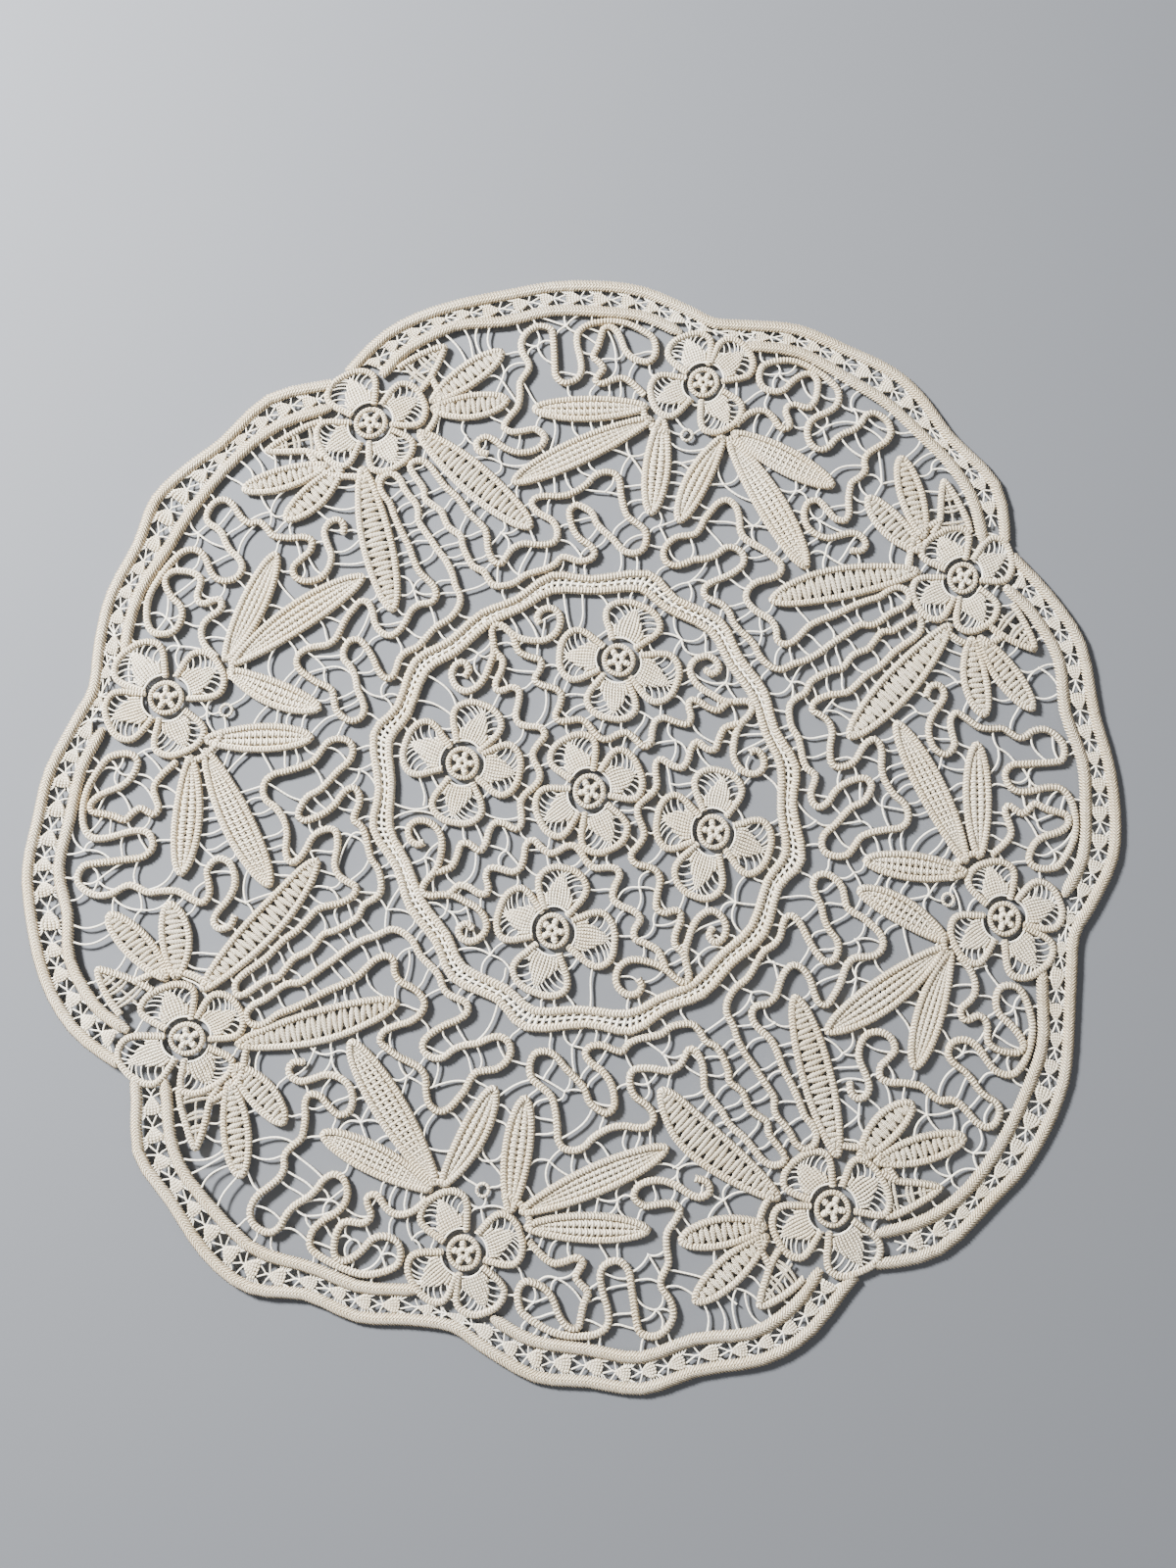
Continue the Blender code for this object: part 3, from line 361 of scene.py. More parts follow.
# the chart: centre lines of the cords of one quarter, x and y
outerTape = [
    (-103.3, 182.4), (-87.2, 199.9), (-67.1, 211.8), (-39.6, 217.6), (-19.9, 221.9), (0, 221.1),
    (19.9, 218.3), (39.8, 208.6), (51.8, 202), (69.6, 200.2), (89.6, 197.8), (109.5, 189.9), (128.6, 182.6),
    (143.4, 170.6), (155.7, 156.1), (173.6, 135.8), (177.9, 110.8),
]
innerTapeLeft = [
    (-88, 182.5), (-79.1, 192.5), (-61, 202.8), (-40, 204.9), (-20, 210.6), (0, 209.1), (20, 206.3),
    (33, 200),
]
innerTapeRight = [
    (69, 189.5), (90, 186.9), (110, 176.9), (129.2, 166.2), (151, 148.1), (162.2, 131.5), (166.8, 114),
]
frameOuter = [
    (-45.2, 75.8), (-30, 81.2), (-14.6, 90.6), (2, 88.7), (25.3, 91), (37, 80.7), (55.5, 73), (64.5, 58.5),
]
frameInner = [
    (-41.5, 70.3), (-27.5, 76), (-14, 82.8), (4.7, 82.2), (22, 83.3), (33.3, 75.2), (51, 67.3), (59.5, 54.5),
]
topCord = [
    (-43, 144), (-47.5, 145.6), (-48.5, 149.5), (-45, 151.8), (-40.8, 150.2), (-36.9, 147.2), (-31, 144.8),
    (-25, 145.3), (-20.9, 147.8), (-19.8, 152), (-23.9, 155.2), (-28.8, 154.4), (-33.8, 154), (-37.2, 156.3),
    (-35.5, 160.3), (-32, 165.5), (-31.5, 171), (-31.9, 176.2), (-30, 180), (-28.5, 183), (-29, 186),
    (-31.6, 190), (-32.5, 195), (-30.6, 199.4), (-26.9, 202.6), (-23.1, 203.1), (-19.7, 201.4),
    (-18.8, 197.5), (-18.1, 191.3), (-17.5, 185), (-16.9, 180), (-14.4, 176.9), (-11.3, 176.3),
    (-7.5, 178.1), (-5.9, 181.9), (-6.6, 187.5), (-8.1, 193.1), (-8.4, 198.1), (-6.7, 201.3), (-2.9, 203.4),
    (1.3, 204.2), (6.7, 204.3), (12, 203.3), (16.6, 201.3), (21, 198.7), (24.4, 195.9), (25.7, 191.9),
    (25.4, 187.5), (23.1, 184.7), (20, 184.8), (15.6, 186.9), (12.5, 190.6), (10.9, 195), (9.1, 198.8),
    (6.3, 201.4), (3.1, 201), (2, 197.5), (0.7, 192.5), (-1.1, 188.1), (1.3, 185.4), (3.3, 182.5),
    (1.6, 179.4), (0.4, 176.9), (2.8, 175.3), (6.9, 176.6), (11.3, 177.6), (15, 175.8), (18.8, 172),
    (21, 169.5),
]
rightCord = [
    (61.8, 154), (63, 155.6), (66.8, 158.8), (71.1, 160.5), (75.5, 160), (78.6, 157.5), (80.8, 154.3),
    (83, 152.9), (85.6, 153.8), (85.6, 156.5), (84.3, 159.6), (85, 162.3), (88, 163.4), (91.8, 162.6),
    (94.9, 162.8), (97.2, 165.8), (98.2, 170), (98.2, 174.2), (96.1, 176.9), (93, 176.9), (89.3, 175),
    (86.4, 172.5), (84, 169.9), (80.5, 168.6), (76.1, 169.4), (73.2, 171.6), (72.2, 175.6), (73.3, 179.4),
    (76.8, 181.6), (81.8, 182.7), (86.8, 182.8), (91.4, 181.6), (96, 179.5), (100.6, 176.8), (104.2, 173.9),
    (106.7, 171), (107.3, 167.4), (105.6, 163.5), (101.8, 160.8), (97.4, 158.6), (94.3, 155.4), (93.6, 151),
    (95.3, 147), (99.1, 145.3), (102.8, 147), (105.7, 150.5), (109.3, 153.2), (113.4, 155.3), (116.2, 158.2),
    (118, 161.3), (120.9, 162.9), (124.5, 162), (127.7, 159.4), (128.6, 155.6), (126.5, 151.9),
    (122.8, 149.2), (119.3, 146.3), (117.7, 143), (118, 139.2), (115.8, 136), (112.5, 133.3), (111.5, 130.5),
    (110.8, 125), (111, 120), (109.2, 116.5), (105, 117), (102, 120.2), (98.3, 123.7), (93.9, 122.8),
    (91.9, 118.5), (93, 113), (97, 109.6), (102.3, 108.5), (107.5, 110.2), (112.5, 111.5), (116.3, 110),
    (117.8, 106.8), (115.8, 104), (111.6, 103.8),
]
lowRightCord = [
    (64, 68.5), (69.6, 63.7), (73, 58.2), (77.7, 54.5), (82.3, 53.7), (87.2, 56), (92.5, 57.6), (98.5, 60.8),
    (103, 64.3), (107.1, 67), (111.4, 70), (115.7, 72.7), (119.8, 72.8), (123.2, 74), (126.6, 76.8),
    (130, 79.1), (133.9, 80.9), (136.3, 84.4), (135, 88), (130.9, 89.2), (127.1, 87.5), (123.6, 84.8),
    (118.6, 83), (113.6, 80.9), (108.6, 78.4), (104.2, 76.2), (98.8, 74.2), (93.7, 71.6), (90, 67.8),
    (86.8, 65), (83, 64), (80.2, 66), (79.6, 70.5), (77, 74.2), (72.5, 76.3), (68.8, 78.8), (66.4, 82.4),
    (67.8, 86.4), (71.8, 89.3), (76.5, 90.6), (81, 92.6), (81.9, 96.1), (78.8, 99), (74.6, 102), (70.3, 104),
    (66.3, 106.2), (64, 109.5), (63.6, 114), (62.6, 118.5), (60, 121.5), (56.8, 122), (53.7, 120.3),
    (51, 117.2), (48.5, 114), (46.8, 110.5), (44.5, 107.5), (40.5, 106.6), (36.5, 105.8), (32.8, 102.8),
    (31.2, 98.9), (32.5, 95.3), (36, 93.8), (40, 94.8), (44, 96.6), (49, 97.4), (53.5, 99.2), (57.5, 102.3),
    (61.8, 102.3), (65.2, 99.8), (65.2, 96), (61.5, 92.6), (57, 90), (52, 87.8), (48.6, 85), (48.8, 81.8),
    (52, 80.1), (56.3, 78.6), (59.2, 75.5), (61, 71.5),
]
lowLeftCord = [
    (-76.8, 138.6), (-75.4, 141.2), (-71.4, 141.4), (-67.9, 138.6), (-65, 134.6), (-61.4, 130),
    (-57.1, 126.1), (-54.3, 122.9), (-52.1, 119.3), (-48.6, 115.7), (-44.6, 111.4), (-43.6, 107.1),
    (-42.9, 102.1), (-40.4, 97.1), (-37.1, 96.1), (-35, 99.5), (-32.6, 102.6), (-28, 104.5), (-21.4, 103.6),
    (-15.3, 104.2), (-13.6, 107.3), (-14.4, 111.4), (-16.6, 114.4), (-20.1, 116.4), (-23.3, 118.9),
    (-24.8, 122), (-22.6, 124.5), (-18.3, 125.1), (-13.9, 124.7), (-8.9, 125.5), (-4.5, 127.7), (-1.4, 130.1),
    (1.1, 133.1), (4.9, 134.8), (9.3, 134.2), (11.8, 130.8), (12.4, 126.4), (13.6, 120.1), (15.5, 115.1),
    (19.3, 112), (23, 108.9), (23.9, 104.5), (22.4, 100.1), (18.6, 98.6), (14.3, 100.1), (10.5, 104.5),
    (6.1, 108.6), (3, 112), (1.1, 116.4), (-2, 118.9), (-5.8, 120.4), (-8.6, 118.3), (-8.3, 113.9),
    (-6.4, 108.9), (-3.3, 105.1), (0.5, 102.6), (3, 98.9), (1.1, 96.1), (-3.3, 95.4), (-7.6, 97),
    (-10.8, 97.4), (-13.3, 94.5), (-17, 92.6), (-22, 91.5), (-26.4, 90.2), (-30.1, 87.6), (-35, 86.3),
    (-39.3, 86.5), (-42.1, 89.3), (-44.3, 92.9), (-48.6, 95), (-51.4, 99.3), (-53.6, 104.3), (-54.6, 108.6),
    (-59.3, 112.1), (-61.4, 115.7), (-62.9, 119.3), (-66.4, 122.1), (-70, 125), (-70.7, 129.3),
    (-73.6, 133.6),
]
scrollCord = [
    (-19, 69.2), (-20.3, 72), (-18.2, 75), (-14, 75.6), (-11, 73), (-10.5, 69), (-12.5, 65), (-17, 62.3),
    (-23, 62.5), (-28.3, 64), (-31.5, 66), (-34.5, 68.8), (-38, 70.2), (-39.8, 67.5), (-39.2, 62.5),
    (-39.2, 58), (-41, 53.5), (-43.3, 48.5), (-46.5, 44.8), (-51, 43), (-55, 45), (-57, 49.5), (-55.5, 53.7),
    (-52, 55), (-49.8, 52), (-51.5, 49.3),
]
waveCord = [
    (-31, 66), (-29.7, 61.5), (-28, 58), (-23.5, 55.8), (-19.3, 54.3), (-19.2, 50.8), (-21.8, 46.5),
    (-18.7, 43.8), (-14, 42.4), (-10.8, 39.7), (-11.6, 35.3), (-13.6, 31.2), (-12, 28.8), (-8, 28.6),
    (-3.5, 29), (0, 27), (3, 23), (6, 20.8), (9.5, 21.2), (13, 23), (16.3, 23.5), (19.5, 21.5), (23.3, 18.3),
    (26.5, 20), (27.3, 25), (28.9, 29), (32.5, 30.3), (37.5, 29), (42.2, 28.6), (43.8, 31.8), (42.8, 35.3),
    (43.3, 38.2), (46.7, 38.3), (51, 36), (55.3, 35.3), (58, 37.7), (60.5, 39.3),
]
# flower: centre x and y, then its petals as direction in degrees, length from the centre and width
midFlower = (46.8, 174, [(36, 26, 24), (111, 25.5, 23), (198, 25, 23), (299, 25.5, 23)])
cornerFlower = (159, 94, [(27, 26.5, 24), (119, 24, 25.5), (213, 24.5, 23), (296, 25, 23.5)])
innerFlower = (13.7, 53.1, [(71, 26.5, 26), (172, 26.5, 24), (259, 26, 24), (339, 27, 24)])
centreFlower = (0, 0, [(24, 25, 23.5), (113, 25, 23.5), (207, 25, 23.5), (293, 25.5, 23.5)])
# leaf: base x, y, tip x, y, greatest width, sideways bend of its middle
midLeftLeaves = [
    (24, 164, -26.5, 164.8, 12.5, 0.5),
    (26, 159, -33.5, 130.8, 13.3, -0.6),
    (29, 160, 25.2, 114.5, 12.6, 0.3),
]
midRightLeaves = [
    (57, 150.5, 36.8, 111.3, 12.2, -1.6),
    (58, 149, 93.5, 94.3, 14.2, 1),
    (59, 151.5, 105.8, 130.4, 12.8, -0.5),
]
cornerLeftLeaves = [
    (-75, 155, -24.5, 110.5, 15.3, 0.8),
    (-70, 166.5, -39.5, 191.5, 12.4, 0),
    (-70, 164, -35.3, 169, 13, -1.3),
]
cornerRightLeaves = [
    (141, 97, 76, 81.6, 14.8, -1),
    (142, 110, 132.6, 148, 12.2, 0),
    (142, 104.5, 118, 128.7, 12.6, 1.2),
]


# cotton: pale ivory thread with painted shade that darkens it between stitches, a fine twist and lint
grainSettings = {
    "lint": (2600, 2), "cloud": (38, 3), "speck": (620, 2), "cloudRange": (0.38, 0.66),
    "speckRange": (0.52, 0.72), "speckShare": 0.45, "grooveShadeRange": (0.5, 0.05), "plyRate": 2.0,
    "plySlant": -5.0, "relief": 0.0006, "specular": 0.25, "sheenRoughness": 0.5,
    "sheenTint": (1.0, 0.97, 0.9),
}


def cotton(name, settings):
    material = bpy.data.materials.new(name)
    material.use_nodes = True
    material.diffuse_color = (*settings["colour"], 1)
    tree = material.node_tree
    shader = tree.nodes["Principled BSDF"]
    shader.inputs["Roughness"].default_value = settings["roughness"]
    shader.inputs["Specular IOR Level"].default_value = grainSettings["specular"]
    shader.inputs["Sheen Weight"].default_value = settings["sheen"]
    shader.inputs["Sheen Roughness"].default_value = grainSettings["sheenRoughness"]
    shader.inputs["Sheen Tint"].default_value = (*grainSettings["sheenTint"], 1)
    place = addNode(tree, "ShaderNodeTexCoord").outputs["Object"]
    along = addNode(tree, "ShaderNodeAttribute", attribute_name="along").outputs["Fac"]
    across = addNode(tree, "ShaderNodeAttribute", attribute_name="across").outputs["Fac"]
    fromMiddle = calculate(tree, "ABSOLUTE", across)

    def wave(rate, slant):
        # waves along the thread that slant to both edges, from 0 to 1
        phase = calculate(tree, "ADD", calculate(tree, "MULTIPLY", along, 2 * math.pi * rate),
                          calculate(tree, "MULTIPLY", fromMiddle, slant))
        return calculate(tree, "MULTIPLY_ADD", calculate(tree, "SINE", phase), 0.5, 0.5)

    def noise(scale, detail):
        values = {"Vector": place, "Scale": scale, "Detail": detail}
        return addNode(tree, "ShaderNodeTexNoise", values).outputs["Fac"]

    def ramp(source, low, high):
        return addNode(tree, "ShaderNodeMapRange",
                       {"Value": source, "From Min": low, "From Max": high}).outputs["Result"]

    def blend(share, *colours):
        colours = [(*colour, 1) if isinstance(colour, tuple) else colour for colour in colours]
        return addNode(tree, "ShaderNodeMix", {"Factor": share, 6: colours[0], 7: colours[1]},
                       data_type="RGBA").outputs[2]

    # ribs run in chevrons over the cord, the ply of the thread slants the other way
    rib = wave(settings["ribRate"], settings["slant"])
    ply = wave(settings["ribRate"] * grainSettings["plyRate"], grainSettings["plySlant"])
    fine = calculate(tree, "ADD", calculate(tree, "MULTIPLY", ply, settings["plyBump"]),
                     calculate(tree, "MULTIPLY", noise(*grainSettings["lint"]), settings["lintBump"]))
    height = calculate(tree, "ADD", calculate(tree, "MULTIPLY", rib, settings["ribBump"]), fine)
    bump = addNode(tree, "ShaderNodeBump", {"Strength": settings["bump"], "Distance": grainSettings["relief"],
                                            "Height": height})
    tree.links.new(bump.outputs["Normal"], shader.inputs["Normal"])
    cloud = ramp(noise(*grainSettings["cloud"]), *grainSettings["cloudRange"])
    speck = ramp(noise(*grainSettings["speck"]), *grainSettings["speckRange"])
    thread = blend(cloud, settings["colour"], settings["warm"])
    # random dark specks, a real tone of the thread, take the same dark colour that paints the shade between
    # stitches
    thread = blend(calculate(tree, "MULTIPLY", speck, grainSettings["speckShare"]), thread, settings["grooveShadeAndSpeck"])
    # painted shade: the base colour darkens towards the shade colour in the troughs of the rib wave, where
    # shade falls between stitches
    paintedGrooveShade = calculate(tree, "MULTIPLY", ramp(rib, *grainSettings["grooveShadeRange"]), settings["paintedGrooveShade"])
    tree.links.new(blend(paintedGrooveShade, thread, settings["grooveShadeAndSpeck"]), shader.inputs["Base Color"])
    return material


# each cotton's darkest colour paints the shade between its stitches and also tints its dark specks; the last
# number sets how strong that painted shade is
ivoryCord = cotton("ivoryCord", {
    "colour": (0.91, 0.81, 0.625), "warm": (0.84, 0.715, 0.505), "grooveShadeAndSpeck": (0.28, 0.205, 0.115),
    "roughness": 0.82, "sheen": 0.2, "ribRate": 1.0, "slant": 1.5, "bump": 0.9,
    "ribBump": 1.0, "plyBump": 0.4, "lintBump": 0.3, "paintedGrooveShade": 0.95,
})
creamCord = cotton("creamCord", {
    "colour": (0.895, 0.795, 0.61), "warm": (0.825, 0.70, 0.49), "grooveShadeAndSpeck": (0.27, 0.195, 0.105),
    "roughness": 0.82, "sheen": 0.2, "ribRate": 1.0, "slant": 3.4, "bump": 0.9,
    "ribBump": 1.0, "plyBump": 0.5, "lintBump": 0.3, "paintedGrooveShade": 0.95,
})
ivoryWeave = cotton("ivoryWeave", {
    "colour": (0.92, 0.84, 0.675), "warm": (0.87, 0.765, 0.575), "grooveShadeAndSpeck": (0.33, 0.25, 0.15),
    "roughness": 0.84, "sheen": 0.2, "ribRate": 2.0, "slant": 2.6, "bump": 0.8,
    "ribBump": 0.9, "plyBump": 0.3, "lintBump": 0.3, "paintedGrooveShade": 0.75,
})
fanWeave = cotton("fanWeave", {
    "colour": (0.92, 0.84, 0.675), "warm": (0.87, 0.765, 0.575), "grooveShadeAndSpeck": (0.33, 0.25, 0.15),
    "roughness": 0.84, "sheen": 0.2, "ribRate": 1.0, "slant": 1.8, "bump": 0.7,
    "ribBump": 0.8, "plyBump": 0.3, "lintBump": 0.3, "paintedGrooveShade": 0.65,
})
whiteThread = cotton("whiteThread", {
    "colour": (0.945, 0.895, 0.775), "warm": (0.91, 0.845, 0.70), "grooveShadeAndSpeck": (0.58, 0.50, 0.38),
    "roughness": 0.8, "sheen": 0.15, "ribRate": 4.0, "slant": 1.5, "bump": 0.25,
    "ribBump": 0.5, "plyBump": 0.2, "lintBump": 0.3, "paintedGrooveShade": 0.15,
})
print("cottons mixed")

clockwise = (0, 3, 2, 1)
# lines that bars may start from or end on: points, half width, and the side where bars start
edgesForBars = []


def offerForBars(points, half, side, closed=False):
    if closed:
        points = np.concatenate((points, points[:1]))
    edgesForBars.append((np.asarray(points, float), half, side))


def outwardSide(points):
    # the side of a closed line that faces out
    after = np.roll(points, -1, axis=0)
    area = (points[:, 0] * after[:, 1] - after[:, 0] * points[:, 1]).sum()
    return "right" if area > 0 else "left"


# winding cords of the ground and of the medallion
windingSettings = {
    "girth": 1.7, "height": 1.28, "stitch": 0.67, "perRib": 2, "ribDepth": 0.24, "slant": 0.6,
    "flatness": 0.78, "sides": 6, "unevenness": 0.035, "seed": 4,
}
windings = newBook()
for quarter in range(4):
    for route, closed in ((topCord, False), (rightCord, False), (lowRightCord, True),
                          (lowLeftCord, True), (scrollCord, False), (waveCord, False)):
        line = laid(smoothRoute(route, closed), quarter)
        addPath(windings, line, windingSettings["girth"], windingSettings["height"], closed)
        offerForBars(line, windingSettings["girth"], "both", closed)

# thick ribbed cords along the border
tapeSettings = {
    "outerGirth": 2.55, "innerGirth": 2.6, "tuck": 3.5, "tuckGirth": 0.62, "height": 1.32, "stitch": 0.66,
    "perRib": 2, "ribDepth": 0.17, "slant": 0.6, "flatness": 0.52, "sides": 8, "unevenness": 0.03, "seed": 9,
}
tapes = newBook()
outerLines = []
innerLines = []
for quarter in range(4):
    outer = laid(smoothRoute(outerTape), quarter)
    addPath(tapes, outer, tapeSettings["outerGirth"], tapeSettings["height"])
    outerLines.append(outer)
    offerForBars(outer, tapeSettings["outerGirth"], "none")
    both = []
    for route in (innerTapeLeft, innerTapeRight):
        inner = laid(smoothRoute(route), quarter)
        ends = [end + (end - back) / np.hypot(*(end - back)) * tapeSettings["tuck"]
                for end, back in ((inner[0], inner[1]), (inner[-1], inner[-2]))]
        girth = np.full(len(inner) + 2, tapeSettings["innerGirth"])
        girth[[0, -1]] *= tapeSettings["tuckGirth"]
        addPath(tapes, np.concatenate((ends[:1], inner, ends[1:])), girth, tapeSettings["height"])
        offerForBars(inner, tapeSettings["innerGirth"], "right")
        both.append(inner)
    innerLines.append(both)

# two cords round the medallion, and the thread ladder between them
frameSettings = {
    "girth": 1.88, "height": 1.3, "stitch": 0.67, "perRib": 2, "ribDepth": 0.22, "slant": 0.6,
    "flatness": 0.78, "sides": 6, "unevenness": 0.03, "seed": 5, "drawOut": 1.1, "drawIn": -0.2,
}
ladderSettings = {
    "girth": 0.5, "rung": 0.72, "pitch": 3.3, "lean": 0.9, "step": 0.5, "height": 1.15, "stitch": 0.9,
    "perRib": 3, "ribDepth": 0.1, "slant": 0.2, "flatness": 0.9, "sides": 5, "unevenness": 0.06, "seed": 6,
}
frames = newBook()
frameLines = []
otherSide = {"left": "right", "right": "left"}
for route, draw in ((frameOuter, "drawOut"), (frameInner, "drawIn")):
    line = np.concatenate([laid(route, quarter) for quarter in clockwise])
    line = smoothRoute(line, True)
    middle = line.mean(axis=0)
    reach = np.hypot(*(line - middle).T)[:, None]
    line = middle + (line - middle) * (1 - frameSettings[draw] / reach)  # pulled towards the ladder
    addPath(frames, line, frameSettings["girth"], frameSettings["height"], True)
    side = outwardSide(line) if route is frameOuter else otherSide[outwardSide(line)]
    offerForBars(line, frameSettings["girth"], side, True)
    frameLines.append(line)
cordParts = [
    (windings, windingSettings, ivoryCord),
    (tapes, tapeSettings, creamCord),
    (frames, frameSettings, ivoryCord),
]
crochetCords = stitchUp("crochetCords", cordParts)


def nearestOn(line, spots):
    # the closest point of a line to each spot
    gaps = ((spots[:, None] - line[None]) ** 2).sum(-1)
    return line[gaps.argmin(axis=1)]


def smoothed(line, span, closed=False):
    # every point becomes the mean of the span of points round it
    half = span // 2
    if closed:
        padded = np.concatenate((line[-half:], line, line[:half]))
    else:
        padded = np.concatenate((np.repeat(line[:1], half, axis=0), line, np.repeat(line[-1:], half, axis=0)))
    kernel = np.ones(span) / span
    return np.column_stack([np.convolve(padded[:, k], kernel, "valid") for k in (0, 1)])


book = newBook()
step = ladderSettings["step"]
outer = evenRoute(frameLines[0], step, True)
inner = smoothed(nearestOn(evenRoute(frameLines[1], step / 2, True), outer), 9, True)
middle = (outer + inner) / 2
addPath(book, middle[::2], ladderSettings["girth"], ladderSettings["height"], True)
every = int(ladderSettings["pitch"] / step)
ahead = int(round(ladderSettings["lean"] / step))
rungEnds = np.array([[0.0], [0.5], [0.8]])  # a rung stops inside the cord
for i in range(0, len(outer), every):
    for edge, lean in ((outer, ahead), (inner, -ahead)):
        foot = edge[(i + lean) % len(outer)]
        rung = middle[i] + rungEnds * (foot - middle[i])
        addPath(book, rung, ladderSettings["rung"], ladderSettings["height"])
frameLadder = stitchUp("frameLadder", [(book, ladderSettings, whiteThread)])

# flowers: a thread wheel in a ring, four corded petals filled with a woven fan and comb threads
flowerSettings = {
    "ringRadius": 5.95, "ringGirth": 1.2, "ringHeight": 1.4, "rimGirth": 1.65, "height": 1.3, "stitch": 0.62,
    "perRib": 2, "ribDepth": 0.22, "slant": 0.6, "flatness": 0.8, "sides": 6, "unevenness": 0.035, "seed": 7,
}
# half of a petal's rim, as distance out from the flower's centre and half width, and the chart's own sizes
petalChart = {
    "rim": [(7.0, 4.9), (10.5, 7.0), (14.5, 9.3), (18.3, 10.05), (21.6, 7.9), (23.5, 4.2), (23.85, 0)],
    "foot": 7.0, "tip": 23.85, "halfWidth": 10.05, "edge": 1.7, "swell": 8.0,
}
# the woven body is drawn for a petal of this length and width
fanSettings = {
    "petalLength": 25.5, "petalWidth": 23.5, "foot": 10.0, "ribs": 9, "start": 9.6, "reach": 21.6,
    "halfWidth": 5.0, "lean": (0.03, 0.12), "roundness": (2.1, 0.55), "leastReach": 0.34, "ragged": 0.3,
    "threads": 7, "girth": 0.8, "height": 1.5, "stitch": 0.58, "perRib": 2, "ribDepth": 0.34, "slant": 0.5,
    "flatness": 0.95, "sides": 6, "unevenness": 0.07, "seed": 8,
}
combSettings = {
    "girth": 0.3, "arch": 1.5, "archRise": 2.2, "archSpan": 1.12, "rimStart": 0.36, "rimRun": 0.58,
    "rimGap": 1.1, "bow": (0.16, 0.14), "height": 1.45, "stitch": 1.0, "perRib": 4, "ribDepth": 0.08,
    "slant": 0.2, "flatness": 0.95, "sides": 5, "unevenness": 0.08, "seed": 3,
}
wheelSettings = {
    "arms": 5, "armReach": (2.6, 3.7, 4.6), "sway": 5, "hub": 1.65, "hubGirth": 1.15, "armGirth": 1.55,
    "height": 1.4, "stitch": 0.6, "perRib": 2, "ribDepth": 0.22, "slant": 0.4, "flatness": 0.85, "sides": 6,
    "unevenness": 0.06, "seed": 12,
}
rims = newBook()
fans = newBook()
combs = newBook()
wheels = newBook()
hand = np.random.default_rng(21)  # the maker's hand: one fixed seed for everything uneven


def petalSpot(flower, angle, out, across):
    # a place on a petal: distance out from the flower's centre and to its left
    turn = math.radians(angle)
    out = np.asarray(out, float)
    across = np.asarray(across, float)
    x = flower[0] + out * math.cos(turn) - across * math.sin(turn)
    y = flower[1] + out * math.sin(turn) + across * math.cos(turn)
    return np.column_stack((x, y))


def petalRim(flower, angle, length, width):
    chart = np.array(petalChart["rim"])
    foot = petalChart["foot"]
    edge = petalChart["edge"]
    out = foot + (chart[:, 0] - foot) * (length - edge - foot) / (petalChart["tip"] - foot)
    swell = np.clip((out - foot) / petalChart["swell"], 0, 1)
    half = chart[:, 1] * (1 + (width / 2 - edge - petalChart["halfWidth"]) / petalChart["halfWidth"] * swell)
    out = np.concatenate((out, out[-2::-1]))
    half = np.concatenate((half, -half[-2::-1]))
    return evenRoute(smoothRoute(petalSpot(flower, angle, out, half), parts=4), 1.0)


def curved(start, end, bulge, parts=6):
    # a thread's line from start to end, bowed sideways by a share of its length
    share = np.linspace(0, 1, parts)[:, None]
    run = end - start
    side = np.array([-run[1], run[0]])
    return start + run * share + side * (4 * bulge * share * (1 - share))


def sewFlower(flower, quarter):
    centre = (flower[0], flower[1])
    ring = laid(ringRoute(centre, flowerSettings["ringRadius"], 36), quarter)
    addPath(rims, ring, flowerSettings["ringGirth"], flowerSettings["ringHeight"], True)
    hub = laid(ringRoute(centre, wheelSettings["hub"], 12), quarter)
    addPath(wheels, hub, wheelSettings["hubGirth"], wheelSettings["height"], True)
    between = 360 / wheelSettings["arms"]
    first = hand.uniform(0, between)
    reach = np.array([wheelSettings["hub"], *wheelSettings["armReach"]])
    girth = wheelSettings["armGirth"] * np.array([0.62, 0.95, 1.0, 0.8])
    for arm in range(wheelSettings["arms"]):
        at = math.radians(first + between * arm + hand.uniform(-wheelSettings["sway"], wheelSettings["sway"]))
        line = np.column_stack((centre[0] + reach * math.cos(at), centre[1] + reach * math.sin(at)))
        addPath(wheels, laid(line, quarter), girth, wheelSettings["height"])
    for angle, length, width in flower[2]:
        rim = petalRim(centre, angle, length, width)
        line = laid(rim, quarter)
        addPath(rims, line, flowerSettings["rimGirth"], flowerSettings["height"])
        offerForBars(line, flowerSettings["rimGirth"], outwardSide(line))
        sewFan(centre, angle, length, width, rim, quarter)


def fanWaist(out):
    # how wide the woven body is, as a share, at a distance from its foot
    return np.interp(out, [0, 2.5, 5.5, 9, 12.5], [0.84, 1.02, 1.04, 0.86, 0.56])


